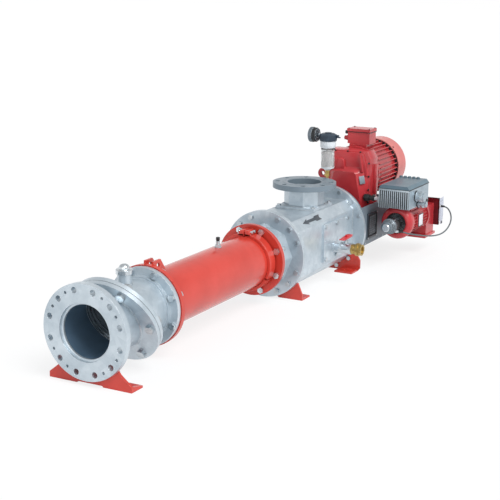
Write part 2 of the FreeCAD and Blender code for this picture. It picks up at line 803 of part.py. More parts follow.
def stator_lining():
    """The rubber lining, bored by a two-start helical slot of twice the rotor's pitch."""
    start = number("stator_start")
    length = number("stator_length")
    pitch = number("rotor_pitch")
    travel = 2 * number("rotor_eccentricity")
    width = number("rotor_dia + 2 * rotor_clearance")
    outer = number("pipe_dia / 2 - stator_tube_wall - lining_gap")
    shell = Part.makeCylinder(outer, length, Vector(start, 0, 0), Vector(1, 0, 0))
    step = pitch / 6
    first = math.floor(-step / step)
    count = math.ceil(length / step) + 2
    sections = []
    for i in range(first, first + count + 1):
        along = i * step
        sections.append(slot_section(start + along, width, travel, math.pi * along / pitch - UP))
    cavity = Part.makeLoft(sections, True, False)
    set_shape("stator_lining", shell.cut(cavity))


def rotor():
    """The single-start helical rotor, set below the stator's axis, with its joint head."""
    start = number("stator_start - rotor_nose")
    body_length = number("stator_length + rotor_nose")
    pitch = number("rotor_pitch")
    throw = number("rotor_eccentricity")
    radius = number("rotor_dia / 2")
    zero = number("stator_start")
    step = pitch / 12
    sections = []
    for i in range(math.ceil(body_length / step) + 1):
        station = min(start + i * step, start + body_length)
        angle = 2 * math.pi * (station - zero) / pitch - UP
        centre = Vector(station, throw * math.cos(angle), throw * math.sin(angle))
        sections.append(Part.Wire(Part.Circle(centre, Vector(1, 0, 0), radius).toShape()))
    screw = Part.makeLoft(sections, True, False)
    ball_centre = number("rod_start")
    head_start = start + body_length
    head_end = ball_centre + number("rod_ball_dia") / 2
    head = Part.makeCylinder(number("joint_head_dia / 2"), head_end - head_start, Vector(head_start, 0, 0), Vector(1, 0, 0))
    socket = Part.makeSphere(number("rod_ball_dia / 2 + ball_clearance"), Vector(ball_centre, 0, 0))
    mouth = Part.makeCone(number("rod_dia / 2 + 1.5"), number("rod_dia / 2 + 5"), head_end - ball_centre, Vector(ball_centre, 0, 0), Vector(1, 0, 0))
    shape = screw.fuse(head).cut(socket.fuse(mouth))
    set_shape("rotor", shape, ("0", "0", "-rotor_eccentricity"))


def tilted_with_rod(body):
    """Lay a body's X axis from the rotor's joint to the drive shaft's joint."""
    angle = number("atan(rotor_eccentricity / rod_length)")
    place(body, ("rod_start", "0", "-rotor_eccentricity"), Rotation(Vector(0, -1, 0), angle))
    bind(body, **{"Placement.Rotation.Angle": "atan(rotor_eccentricity / rod_length)"})


def coupling_rod():
    body = piece("coupling_rod")
    tilted_with_rod(body)
    reach = "sqrt(rod_length * rod_length + rotor_eccentricity * rotor_eccentricity)"
    rod(body, "bar", ("0", "0", "0"), "rod_dia", reach)
    ball(body, "rotor_ball", ("0", "0", "0"), "rod_ball_dia")
    ball(body, "shaft_ball", (reach, "0", "0"), "rod_ball_dia")


def joint_boots():
    """A rubber sleeve over each joint head, gripping the rod."""
    body = piece("joint_boots")
    tilted_with_rod(body)
    reach = "sqrt(rod_length * rod_length + rotor_eccentricity * rotor_eccentricity)"
    inner = "joint_head_dia / 2 + boot_gap"
    grip = "rod_dia / 2 + 0.1"
    for name, base, way in (("rotor", "0", ""), ("shaft", reach, "-")):
        points = [(f"{base} {way or '+'} (-22)", inner), (f"{base} {way or '+'} (26)", inner), (f"{base} {way or '+'} (boot_length)", grip),
                  (f"{base} {way or '+'} (boot_length + 24)", grip), (f"{base} {way or '+'} (boot_length + 24)", f"{grip} + boot_wall"),
                  (f"{base} {way or '+'} (boot_length + 4)", f"{grip} + boot_wall"), (f"{base} {way or '+'} (30)", f"{inner} + boot_wall"),
                  (f"{base} {way or '+'} (-22)", f"{inner} + boot_wall")]
        turned(body, name + "_boot", points)


def clamp_ring():
    """A split ring on the tube in front of the stator's rear flange, with an ear on top."""
    body = piece("clamp_ring")
    start = "stator_end - stator_flange_thick - clamp_length - 1"
    inner = "pipe_dia / 2 + 0.2"
    rod(body, "band", (start, "0", "0"), "pipe_dia + 2 * clamp_thick", "clamp_length")
    block(body, "ear", (start, "-22", "pipe_dia / 2 + 2"), ("clamp_length", "44", "30"))
    rod(body, "bore", (f"{start} - 1", "0", "0"), f"2 * ({inner})", "clamp_length + 2", cut=True)
    block(body, "split", (f"{start} - 1", "-clamp_split / 2", "pipe_dia / 2 - 6"), ("clamp_length + 2", "clamp_split", "60"), cut=True)
    rod(body, "ear_hole", (f"{start} + clamp_length / 2", "-40", "pipe_dia / 2 + 20"), "11", "80", ALONG_Y, cut=True)
    block(body, "low_split", (f"{start} - 1", "-pipe_dia", "-clamp_split / 2 - 22"), ("clamp_length + 2", "pipe_dia", "clamp_split"), cut=True)


def temperature_probe():
    body = piece("temperature_probe", ("probe_station", "0", "pipe_dia / 2"))
    rod(body, "socket", ("0", "0", "-4"), "probe_dia + 6", "8", ALONG_Z)
    prism(body, "nut", ("0", "0", "4"), "6", "probe_dia / 2", "8", ALONG_Z)
    rod(body, "head", ("0", "0", "11"), "probe_dia - 6", "probe_height - 11", ALONG_Z)
    rod(body, "tube_room", ("-40", "0", "-pipe_dia / 2"), "pipe_dia + 0.2", "80", cut=True)


# Suction housing
def housing_section(shrink="0"):
    """The housing's eight corners, each moved in by a wall."""
    w, t = f"(housing_half_width - {shrink})", f"(housing_half_height - {shrink})"
    bw, bh = f"(bevel_width - {shrink} * 0.42)", f"(bevel_height - {shrink} * 0.42)"
    return [(w, f"-{bh}"), (w, bh), (bw, t), (f"-{bw}", t), (f"-{w}", bh), (f"-{w}", f"-{bh}"), (f"-{bw}", f"-{t}"), (bw, f"-{t}")]


def housing_adapter():
    body = piece("housing_adapter")
    rod(body, "small_flange", ("adapter_start", "0", "0"), "adapter_flange_dia", "adapter_flange_thick")
    rod(body, "large_flange", ("adapter_end - housing_flange_thick", "0", "0"), "housing_flange_dia", "housing_flange_thick")
    ends = []
    for name, station, radius in (("small", "adapter_start + adapter_flange_thick - 1", "adapter_small_radius"),
                                  ("large", "adapter_end - housing_flange_thick + 1", "adapter_large_radius")):
        made = sketch(body, name + "_octagon", "YZ_Plane", station)
        outline(made, [(f"{radius} * cos({45 * i})", f"{radius} * sin({45 * i})") for i in range(8)])
        ends.append(made)
    loft(body, "collar", ends[0], ends[1])
    rod(body, "bore", ("adapter_start - 1", "0", "0"), "2 * adapter_small_radius * cos(22.5) - 14", "adapter_length + housing_flange_thick + 2",
        cut=True)
    bolt_holes(body, "small_hole", "adapter_start", "adapter_flange_thick", "joint_pcd", "22.5", "joint_bolt_dia + 1", "joint_bolts")
    for angle in HOUSING_BOLT_ANGLES:
        start = "adapter_end - housing_flange_thick"
        bolt_holes(body, f"large_hole_{angle}", start, "housing_flange_thick", "housing_pcd", f"{angle} * bolt_step", "housing_bolt_dia + 1", "4")


def suction_housing():
    body = piece("suction_housing")
    rod(body, "front_flange", ("housing_start", "0", "0"), "housing_flange_dia", "housing_flange_thick")
    rod(body, "rear_flange", ("rear_flange_station", "0", "0"), "rear_flange_dia", "rear_flange_thick")
    block(body, "rear_flat", ("rear_flange_station - 1", "-rear_flange_dia / 2", "-rear_flat - 60"),
          ("rear_flange_thick + 2", "rear_flange_dia", "60"), cut=True)
    plate(body, "trough", "YZ_Plane", housing_section(), "housing_start + 1", "rear_flange_station - housing_start")
    plate(body, "inside", "YZ_Plane", housing_section("housing_wall"), "housing_start + 1", "rear_flange_station - housing_start - 1", reverse=True, cut=True)
    rod(body, "front_bore", ("housing_start - 1", "0", "0"), "2 * adapter_small_radius * cos(22.5) - 14", "housing_flange_thick + 2", cut=True)
    rod(body, "rear_bore", ("rear_flange_station - 1", "0", "0"), "rear_bore_dia", "rear_flange_thick + 2", cut=True)
    rod(body, "inlet_hole", ("inlet_station", "0", "housing_half_height - 2 * housing_wall"), "inlet_bore_dia", "3 * housing_wall", ALONG_Z, cut=True)
    block(body, "inspection_hole", ("cover_station + cover_rim", "-housing_half_width - 1", "cover_bottom + cover_rim"),
          ("cover_length - 2 * cover_rim", "housing_wall + 2", "cover_height - 2 * cover_rim"), cut=True)
    for angle in HOUSING_BOLT_ANGLES:
        step = f"{angle} * bolt_step"
        bolt_holes(body, f"front_hole_{angle}", "housing_start", "housing_flange_thick", "housing_pcd", step, "housing_bolt_dia + 0.2", "4")
        bolt_holes(body, f"rear_hole_{angle}", "rear_flange_station", "rear_flange_thick", "rear_pcd", step, "rear_bolt_dia + 1", "4")


def housing_bolts():
    """Screws of the housing's front flange, and bolts of its rear flange; the lowest ones also hold the feet."""
    body = piece("housing_bolts")
    front = "adapter_end - housing_flange_thick"
    for angle in HOUSING_BOLT_ANGLES:
        bolt(body, f"front_{angle}", front, "2 * housing_flange_thick + gasket_thick", "housing_pcd", f"{angle} * bolt_step", "housing_bolt_dia", "4",
             nut=False)
    corner = "housing_bolt_dia * 0.87"
    for angle in (7, 9):
        y, z = on_circle("housing_pcd", f"{angle} * bolt_step")
        rod(body, f"foot_shank_{angle}", ("housing_body", y, z), "housing_bolt_dia", "foot_plate_thick + housing_bolt_dia")
        prism(body, f"foot_nut_{angle}", ("housing_body + foot_plate_thick", y, z), "6", corner, "housing_bolt_dia * 0.8")
    for angle in range(16):
        if angle % 4 == 0:
            continue
        lead = "foot_plate_thick" if angle in (6, 7, 9, 10) else "0"
        grip = f"{lead} + rear_flange_thick + gasket_thick / 2 + lantern_flange_thick"
        bolt(body, f"rear_{angle}", f"rear_flange_station - {lead}", grip, "rear_pcd", f"{angle} * bolt_step", "rear_bolt_dia")


def inlet_neck():
    body = piece("inlet_neck", ("inlet_station", "0", "0"))
    low = "housing_half_height"
    block(body, "saddle", ("-saddle_width / 2", "-saddle_width / 2", low), ("saddle_width", "saddle_width", "saddle_thick"))
    neck = prism(body, "neck", ("0", "0", low), "8", "inlet_neck_radius", f"inlet_height - {low} - 2", ALONG_Z)
    neck.Placement = Placement(neck.Placement.Base, Rotation(Vector(0, 0, 1), 22.5))
    rod(body, "flange", ("0", "0", "inlet_height - inlet_flange_thick"), "inlet_flange_dia", "inlet_flange_thick", ALONG_Z)
    rod(body, "bore", ("0", "0", f"{low} - 1"), "inlet_bore_dia", f"inlet_height - {low} + 2", ALONG_Z, cut=True)
    spot = ("inlet_pcd / 2 * cos(22.5)", "inlet_pcd / 2 * sin(22.5)", "inlet_height - inlet_flange_thick - 1")
    hole = rod(body, "bolt_hole", spot, "flange_hole_dia", "inlet_flange_thick + 2", ALONG_Z, cut=True)
    ring(body, "bolt_holes", [hole], "inlet_holes", "Z_Axis")


def inspection_cover():
    body = piece("inspection_cover", ("0", "-housing_half_width", "0"))
    block(body, "plate", ("cover_station", "-cover_thick", "cover_bottom"), ("cover_length", "cover_thick", "cover_height"))
    rod(body, "weld_ring", ("valve_station", "-cover_thick", "valve_level"), "nipple_dia + 14", "5", ALONG_MINUS_Y)
    rod(body, "nipple", ("valve_station", "-cover_thick", "valve_level"), "nipple_dia", "nipple_length", ALONG_MINUS_Y)
    rod(body, "drain", ("valve_station", "1", "valve_level"), "valve_bore_dia", "cover_thick + nipple_length + 2", ALONG_MINUS_Y, cut=True)


def cover_bolts():
    """Screws of the inlet's saddle and of the inspection cover."""
    body = piece("cover_bolts")
    top = "housing_half_height + saddle_thick"
    for i in (-1, 1):
        for j in (-1, 1):
            spot = (f"inlet_station + {i} * saddle_bolt_pitch / 2", f"{j} * saddle_bolt_pitch / 2", top)
            prism(body, f"saddle_head_{i + 1}{j + 1}", spot, "6", "9.5", "7", ALONG_Z)
    inset = "cover_bolt_inset"
    for i, x in enumerate((f"cover_station + {inset}", "cover_station + cover_length / 2", f"cover_station + cover_length - {inset}")):
        for j, z in enumerate((f"cover_bottom + {inset}", f"cover_bottom + cover_height - {inset}")):
            prism(body, f"cover_head_{i}{j}", (x, "-housing_half_width - cover_thick", z), "6", "9.5", "7", ALONG_MINUS_Y)


# Drain valve
VALVE_FRAME = ("valve_station", "-housing_half_width - cover_thick - nipple_length", "valve_level")


def valve_body():
    body = piece("valve_body", VALVE_FRAME)
    rod(body, "barrel", ("0", "0", "0"), "valve_dia", "valve_length", ALONG_MINUS_Y)
    for name, start in (("near", "0"), ("far", "-valve_length + 12")):
        prism(body, name + "_hexagon", ("0", start, "0"), "6", "valve_dia / 2 + 4", "12", ALONG_MINUS_Y)
    rod(body, "stem_boss", ("0", "-valve_length / 2", "0"), "20", "lever_level - 8", ALONG_Z)
    rod(body, "bore", ("0", "1", "0"), "valve_bore_dia", "valve_length + 2", ALONG_MINUS_Y, cut=True)
    ball(body, "seat", ("0", "-valve_length / 2", "0"), "valve_ball_dia + 0.6", cut=True)
    rod(body, "stem_bore", ("0", "-valve_length / 2", "0"), "stem_dia + 2 * stem_clearance", "lever_level", ALONG_Z, cut=True)


def valve_ball():
    """The shut ball: its bore lies across the pipe."""
    body = piece("valve_ball", ("valve_station", "-housing_half_width - cover_thick - nipple_length - valve_length / 2", "valve_level"))
    ball(body, "ball", ("0", "0", "0"), "valve_ball_dia")
    rod(body, "bore", ("-valve_ball_dia", "0", "0"), "valve_bore_dia", "2 * valve_ball_dia", cut=True)
    rod(body, "stem", ("0", "0", "valve_bore_dia / 2 + 1"), "stem_dia", "lever_level - valve_bore_dia / 2 - 1", ALONG_Z)


def valve_lever():
    """A cranked flat lever on the ball's stem, lying across the pipe when shut."""
    body = piece("valve_lever", ("valve_station", "-housing_half_width - cover_thick - nipple_length - valve_length / 2", "valve_level"))
    t = "lever_thick"
    z = "lever_level"
    points = [("-10", z), ("22", z), ("40", f"{z} + 10"), ("lever_length", f"{z} + 16"), ("lever_length", f"{z} + 16 + {t}"),
              ("38", f"{z} + 10 + {t}"), ("21", f"{z} + {t}"), ("-10", f"{z} + {t}")]
    plate(body, "blade", "XZ_Plane", points, "-lever_width / 2", "lever_width")
    prism(body, "nut", ("0", "0", f"{z} + {t}"), "6", "8", "7", ALONG_Z)


def hose_coupling():
    """A brass cap coupling with two claws at the valve's end."""
    body = piece("hose_coupling", ("valve_station", "-housing_half_width - cover_thick - nipple_length - valve_length", "valve_level"))
    prism(body, "hexagon", ("0", "0", "0"), "6", "24", "12", ALONG_MINUS_Y)
    rod(body, "neck", ("0", "-12", "0"), "38", "10", ALONG_MINUS_Y)
    rod(body, "rim", ("0", "-22", "0"), "coupling_dia", "12", ALONG_MINUS_Y)
    rod(body, "cap", ("0", "-34", "0"), "coupling_dia - 8", "coupling_length - 34", ALONG_MINUS_Y)
    for side in (-1, 1):
        x = f"{side} * (coupling_dia / 2 - 8) - 5"
        block(body, f"claw_{side + 1}", (x, "-coupling_length", "-9"), ("10", "coupling_length - 24", "18"))
    rod(body, "recess", ("0", "-coupling_length + 7", "0"), "coupling_dia - 24", "8", ALONG_MINUS_Y, cut=True)


# Shaft line
def seal_housing():
    body = piece("seal_housing")
    rod(body, "flange", ("rear_flange_station", "0", "0"), "rear_bore_dia - 1", "rear_flange_thick")
    rod(body, "barrel", ("rear_flange_station - 8", "0", "0"), "seal_barrel_dia", "seal_barrel_end - rear_flange_station + 8")
    rod(body, "bore", ("rear_flange_station - 9", "0", "0"), "seal_bore_dia", "seal_barrel_end - rear_flange_station + 10", cut=True)
    hole = rod(body, "gland_hole", ("seal_barrel_end - 12", "0", "47"), "8", "14", cut=True)
    ring(body, "gland_holes", [hole], "4")


def seal_rings():
    """Packing rings round the shaft, with a gland ring at the end."""
    body = piece("seal_rings")
    shaft = "shaft_dia + 2 * running_clearance"
    for i in range(4):
        start = f"rear_flange_station + {4 + i * 14}"
        rod(body, f"ring_{i}", (start, "0", "0"), "seal_bore_dia - 0.2", "12")
    rod(body, "gland", ("seal_barrel_end - 30", "0", "0"), "seal_bore_dia - 0.2", "30")
    rod(body, "gland_collar", ("seal_barrel_end", "0", "0"), "seal_barrel_dia - 8", "9")
    rod(body, "bore", ("rear_flange_station", "0", "0"), shaft, "seal_barrel_end - rear_flange_station + 12", cut=True)


def drive_shaft():
    body = piece("drive_shaft")
    head = "joint_head_dia / 2"
    points = [("rod_end - rod_ball_dia / 2", "0"), ("rod_end - rod_ball_dia / 2", head), ("rod_end + 34", head), ("rod_end + 34", "shaft_dia / 2"),
              ("gearbox_front - 4", "shaft_dia / 2"), ("gearbox_front - 4", "gear_shaft_dia / 2"), ("gearbox_rear - 6", "gear_shaft_dia / 2"),
              ("gearbox_rear - 6", "0")]
    turned(body, "shaft", points)
    ball(body, "socket", ("rod_end", "0", "0"), "rod_ball_dia + 2 * ball_clearance", cut=True)
    cone(body, "mouth", ("rod_end", "0", "0"), "rod_dia + 3", "rod_dia + 10", "rod_ball_dia / 2 + 1", ALONG_MINUS_X, cut=True)


def tooth_points(teeth, module, phase):
    """The outline of a spur gear in the YZ plane, four radii to a flank."""
    pitch_radius = module * teeth / 2
    base = pitch_radius * math.cos(math.radians(20))
    half = math.pi / (2 * teeth) - number("gear_backlash") / (4 * pitch_radius)
    roll = math.tan(math.radians(20)) - math.radians(20)
    radii = [pitch_radius - 1.25 * module, max(base, pitch_radius - module), pitch_radius, pitch_radius + 0.95 * module]

    def half_angle(radius):
        inside = min(1, base / radius)
        slope = math.acos(inside)
        return half + roll - (math.tan(slope) - slope)

    flank = [(radius, half_angle(radius)) for radius in radii]
    points = []
    for i in range(teeth):
        middle = phase + 2 * math.pi * i / teeth
        for radius, angle in flank:
            points.append(Vector(0, radius * math.cos(middle - angle), radius * math.sin(middle - angle)))
        for radius, angle in reversed(flank):
            points.append(Vector(0, radius * math.cos(middle + angle), radius * math.sin(middle + angle)))
    return points


def gear_solid(teeth, module, width, station, level, phase, bore=0):
    points = tooth_points(teeth, module, phase)
    face = Part.Face(Part.makePolygon(points + points[:1]))
    solid = face.extrude(Vector(width, 0, 0))
    if bore:
        solid = solid.cut(Part.makeCylinder(bore / 2, width, Vector(0, 0, 0), Vector(1, 0, 0)))
    solid.translate(Vector(station, 0, level))
    return solid


def output_gear():
    """The large gear on the drive shaft, a tooth straight up."""
    teeth = int(number("output_teeth"))
    shape = gear_solid(teeth, number("output_module"), number("output_gear_width"), number("output_gear_start"), 0, UP, number("gear_shaft_dia"))
    middle = number("output_gear_start")
    width = number("output_gear_width")
    for side, start in ((0, middle - 0.01), (1, middle + width - 10)):
        web = Part.makeCylinder(78, 10.01, Vector(start, 0, 0), Vector(1, 0, 0)).cut(
            Part.makeCylinder(36, 10.01, Vector(start, 0, 0), Vector(1, 0, 0)))
        shape = shape.cut(web)
    set_shape("output_gear", shape)


def intermediate_gear():
    """The layshaft: its pinion drives the output gear, and its large gear is driven by the motor."""
    level = number("intermediate_level")
    pinion_teeth = int(number("pinion_teeth"))
    gear_teeth = int(number("input_gear_teeth"))
    down_gap = -UP + math.pi / pinion_teeth
    start = number("output_gear_start") - 1.5
    pinion = gear_solid(pinion_teeth, number("output_module"), number("output_gear_width") + 3, start, level, down_gap)
    wheel = gear_solid(gear_teeth, number("input_module"), number("input_gear_width"), number("input_gear_start"), level, UP)
    shaft_start = number("gearbox_front + cover_wall - bearing_width + 1")
    shaft_end = number("gearbox_rear - rear_wall + bearing_width - 1")
    shaft = Part.makeCylinder(number("intermediate_shaft_dia / 2"), shaft_end - shaft_start, Vector(shaft_start, 0, level), Vector(1, 0, 0))
    set_shape("intermediate_gear", shaft.fuse([pinion, wheel]).removeSplitter())


def motor_rotor():
    """The motor's shaft with its rotor core, and the pinion cut on its end."""
    level = number("motor_level")
    teeth = int(number("input_pinion_teeth"))
    down_gap = -UP + math.pi / teeth
    width = number("input_gear_width") + 4
    start = number("input_gear_start") - 2
    pinion = gear_solid(teeth, number("input_module"), width, start, level, down_gap)
    end = number("motor_frame_end + 52")
    shaft = Part.makeCylinder(number("motor_shaft_dia / 2"), end - start, Vector(start, 0, level), Vector(1, 0, 0))
    core_start = number("motor_frame_start + (motor_frame_length - core_length) / 2")
    core = Part.makeCylinder(number("core_dia / 2"), number("core_length"), Vector(core_start, 0, level), Vector(1, 0, 0))
    set_shape("motor_rotor", shaft.fuse([pinion, core]).removeSplitter())


def bearing(body, name, station, level, outer, inner):
    rod(body, name, (station, "0", level), f"{outer} - 2 * bearing_gap", "bearing_width")
    rod(body, name + "_bore", (f"{station} - 1", "0", level), f"{inner} + 2 * running_clearance", "bearing_width + 2", cut=True)


def shaft_bearings():
    body = piece("shaft_bearings")
    front = "gearbox_front + cover_wall - bearing_width"
    rear = "gearbox_rear - rear_wall"
    bearing(body, "output_front", front, "0", "output_bearing_dia", "gear_shaft_dia")
    bearing(body, "output_rear", rear, "0", "output_bearing_dia", "gear_shaft_dia")
    bearing(body, "middle_front", front, "intermediate_level", "small_bearing_dia", "intermediate_shaft_dia")
    bearing(body, "middle_rear", rear, "intermediate_level", "small_bearing_dia", "intermediate_shaft_dia")
    bearing(body, "motor_front", "gearbox_rear + 0.5", "motor_level", "small_bearing_dia", "motor_shaft_dia")
    bearing(body, "motor_rear", "motor_frame_end - bearing_width - 0.5", "motor_level", "small_bearing_dia", "motor_shaft_dia")


# Lantern
def lantern():
    """The open frame between the pump and the gearbox: a ring flange, two walls and two cross plates."""
    body = piece("lantern")
    rod(body, "flange", ("lantern_start", "0", "0"), "lantern_flange_dia", "lantern_flange_thick")
    block(body, "flat", ("lantern_start - 1", "-lantern_flange_dia / 2", "-rear_flat - 60"),
          ("lantern_flange_thick + 2", "lantern_flange_dia", "60"), cut=True)
    rod(body, "flange_bore", ("lantern_start - 1", "0", "0"), "rear_bore_dia - 20", "lantern_flange_thick + 2", cut=True)
    points = [("lantern_walls - 1", "lantern_bottom"), ("lantern_end - 30", "lantern_bottom"), ("lantern_end", "lantern_bottom + 30"),
              ("lantern_end", "lantern_top - 46"), ("lantern_end - 30", "lantern_top - 16"), ("gearbox_rear + 60", "lantern_top - 16"),
              ("gearbox_rear + 30", "lantern_top"), ("lantern_walls - 1", "lantern_top")]
    for name, start in (("near_wall", "lantern_half_width - lantern_wall"), ("far_wall", "-lantern_half_width")):
        plate(body, name, "XZ_Plane", points, start, "lantern_wall")
    block(body, "windows", ("window_start", "-lantern_half_width - 1", "window_bottom"), ("window_length", "2 * lantern_half_width + 2", "window_height"),
          cut=True)
    inner = "lantern_half_width - lantern_wall / 2"
    for name, station in (("gearbox_plate", "gearbox_rear"), ("end_plate", "lantern_end - 46")):
        block(body, name, (station, f"-({inner})", "lantern_bottom"), ("10", f"2 * ({inner})", "lantern_top - lantern_bottom - 22"))
    rod(body, "shaft_hole", ("gearbox_rear - 1", "0", "0"), "output_bearing_dia - 10", "12", cut=True)
    rod(body, "end_hole", ("lantern_end - 47", "0", "0"), "110", "12", cut=True)
    for angle in HOUSING_BOLT_ANGLES:
        bolt_holes(body, f"bolt_hole_{angle}", "lantern_start", "lantern_flange_thick", "rear_pcd", f"{angle} * bolt_step", "rear_bolt_dia + 1", "4")
    rod(body, "output_hole", ("torque_tube_station", "-lantern_half_width - 1", "torque_tube_level"), "output_shaft_dia + 20", "lantern_wall + 2",
        ALONG_Y, cut=True)


def window_guards():
    """A dark framed guard over each of the lantern's windows."""
    body = piece("window_guards")
    border = "guard_border"
    size = (f"window_length + 2 * {border}", "guard_thick", f"window_height + 2 * {border}")
    for name, y, inner in (("near", "-lantern_half_width - guard_thick", "-lantern_half_width - guard_thick - 1"),
                           ("far", "lantern_half_width", "lantern_half_width + guard_thick - 2.5")):
        block(body, name + "_guard", (f"window_start - {border}", y, f"window_bottom - {border}"), size)
        block(body, name + "_recess", ("window_start + 4", inner, "window_bottom + 4"), ("window_length - 8", "3.5", "window_height - 8"), cut=True)


# Gear unit
REAR_OUTLINE = [("118", "60"), ("118", "262"), ("55", "335"), ("-55", "335"), ("-118", "262"), ("-118", "60"), ("-88", "-104"), ("88", "-104")]
FRONT_OUTLINE = [("60", "48"), ("60", "248"), ("40", "286"), ("-40", "286"), ("-60", "248"), ("-60", "48"), ("-48", "-50"), ("48", "-50")]


def shrunk(points, wall):
    """An outline moved in by a wall: each point goes towards the middle of the gear unit."""
    moved = []
    for u, v in points:
        side = "-" if not u.startswith("-") else "+"
        up = "+" if float(v) < 100 else "-"
        moved.append((f"{u} {side} {wall}", f"{v} {up} {wall}"))
    return moved


def gearbox_housing():
    body = piece("gearbox_housing")
    plate(body, "case", "YZ_Plane", REAR_OUTLINE, "gearbox_joint + 0.5", "gearbox_rear - gearbox_joint - 0.5")
    plate(body, "inside", "YZ_Plane", shrunk(REAR_OUTLINE, "gearbox_wall"), "gearbox_joint", "gearbox_rear - gearbox_joint - rear_wall", reverse=True, cut=True)
    start = "gearbox_rear - rear_wall - 1"
    rod(body, "output_seat", (start, "0", "0"), "output_bearing_dia", "bearing_width + 1", cut=True)
    rod(body, "middle_seat", (start, "0", "intermediate_level"), "small_bearing_dia", "bearing_width + 1", cut=True)
    rod(body, "motor_hole", (start, "0", "motor_level"), "motor_shaft_dia + 6", "rear_wall + 2", cut=True)
    for side in (-1, 1):
        name = "left" if side > 0 else "right"
        block(body, "boss_" + name, ("gearbox_joint + 18", f"{side} * 121 - 8", "150"), ("44", "16", "60"))


def gearbox_cover():
    """The faceted front cover, with the shaft's bearing seat in its nose."""
    body = piece("gearbox_cover")
    faces = []
    for name, station, points in (("nose", "gearbox_front", FRONT_OUTLINE), ("joint", "gearbox_joint - 12", REAR_OUTLINE)):
        made = sketch(body, name, "YZ_Plane", station)
        outline(made, points)
        faces.append(made)
    loft(body, "facets", faces[0], faces[1])
    plate(body, "rim", "YZ_Plane", REAR_OUTLINE, "gearbox_joint - 12", "12")
    rod(body, "lower_nose", ("gearbox_front", "0", "0"), "output_bearing_dia + 26", "30")
    hollow = []
    for name, station, points in (("hollow_nose", "gearbox_front + cover_wall", shrunk(FRONT_OUTLINE, "1")),
                                  ("hollow_joint", "gearbox_joint", shrunk(REAR_OUTLINE, "gearbox_wall"))):
        made = sketch(body, name, "YZ_Plane", station)
        outline(made, points)
        hollow.append(made)
    loft(body, "hollow", hollow[0], hollow[1], cut=True)
    wheel = "input_module * input_gear_teeth + 2 * input_module + 6"
    rod(body, "wheel_room", ("gearbox_front + cover_wall", "0", "intermediate_level"), wheel, "40", cut=True)
    seat = "gearbox_front + cover_wall - bearing_width"
    rod(body, "output_seat", (seat, "0", "0"), "output_bearing_dia", "bearing_width + 20", cut=True)
    rod(body, "shaft_hole", ("gearbox_front - 1", "0", "0"), "gear_shaft_dia + 2", "cover_wall", cut=True)
    rod(body, "middle_seat", (seat, "0", "intermediate_level"), "small_bearing_dia", "bearing_width + 1", cut=True)


# Main motor
def motor_frame():
    """The finned frame with its mounting flange and both bearing shields."""
    body = piece("motor_frame", ("0", "0", "motor_level"))
    outer = "motor_frame_dia / 2"
    inner = f"{outer} - motor_frame_wall"
    end = "motor_frame_end"
    rim = "fan_cover_dia / 2 - fan_cover_wall - 0.3"
    hole = "small_bearing_dia / 2"
    points = [("gearbox_rear", hole), ("gearbox_rear", "motor_flange_dia / 2"), ("motor_frame_start", "motor_flange_dia / 2"), ("motor_frame_start", outer),
              (f"{end} - 12", outer), (f"{end} - 12", rim), (end, rim), (end, "motor_shaft_dia / 2 + 0.5"), (f"{end} - 0.5", "motor_shaft_dia / 2 + 0.5"),
              (f"{end} - 0.5", hole), (f"{end} - bearing_width - 2", hole), (f"{end} - bearing_width - 2", inner), ("motor_frame_start + 6", inner),
              ("motor_frame_start + 6", hole)]
    turned(body, "frame", points)
    fin = block(body, "fin", ("motor_frame_start + 6", "-motor_fin_thick / 2", f"{outer} - 2"),
                ("motor_frame_length - 12", "motor_fin_thick", "motor_fin_height + 2"))
    ring(body, "fins", [fin], "motor_fins")
    block(body, "box_seat", ("terminal_box_start - 4", "-46", f"{outer} - 8"), ("terminal_box_length + 8", "92", "terminal_box_bottom - motor_level - motor_frame_dia / 2 + 8"))
    block(body, "seat_hollow", ("terminal_box_start + 14", "-30", f"{inner} - 2"), ("terminal_box_length - 28", "60", "60"), cut=True)


def motor_winding():
    body = piece("motor_winding", ("0", "0", "motor_level"))
    start = "motor_frame_start + (motor_frame_length - core_length) / 2"
    bore = "core_dia / 2 + air_gap"
    outer = "motor_frame_dia / 2 - motor_frame_wall - 0.2"
    points = [(f"{start}", bore), (f"{start} - 24", f"{bore} + 6"), (f"{start} - 24", f"{bore} + 22"), (start, f"{bore} + 24"), (start, outer),
              (f"{start} + core_length", outer), (f"{start} + core_length", f"{bore} + 24"), (f"{start} + core_length + 24", f"{bore} + 22"),
              (f"{start} + core_length + 24", f"{bore} + 6"), (f"{start} + core_length", bore)]
    turned(body, "core", points)


def bladed_fan(body, start, dia, shaft, width, blades, level):
    rod(body, "hub", (start, "0", "0"), f"{shaft} + 22", width)
    rod(body, "disc", (start, "0", "0"), f"{dia} - 20", "3")
    blade = block(body, "blade", (start, "-1.5", f"{shaft} / 2 + 6"), (width, "3", f"{dia} / 2 - {shaft} / 2 - 6"))
    ring(body, "blades", [blade], blades)
    rod(body, "bore", (f"{start} - 1", "0", "0"), f"{shaft} + 0.1", f"{width} + 2", cut=True)


def motor_fan():
    body = piece("motor_fan", ("0", "0", "motor_level"))
    bladed_fan(body, "motor_frame_end + 16", "fan_dia", "motor_shaft_dia", "32", "fan_blades", "motor_level")


def grille(body, start, length, radii, count):
    """Rings of radial slots through a fan cover's end."""
    for index, (low, high) in enumerate(radii):
        slot = block(body, f"slot_{index}", (start, "-2.5", low), (length, "5", f"{high} - ({low})"), cut=True)
        ring(body, f"slots_{index}", [slot], count)


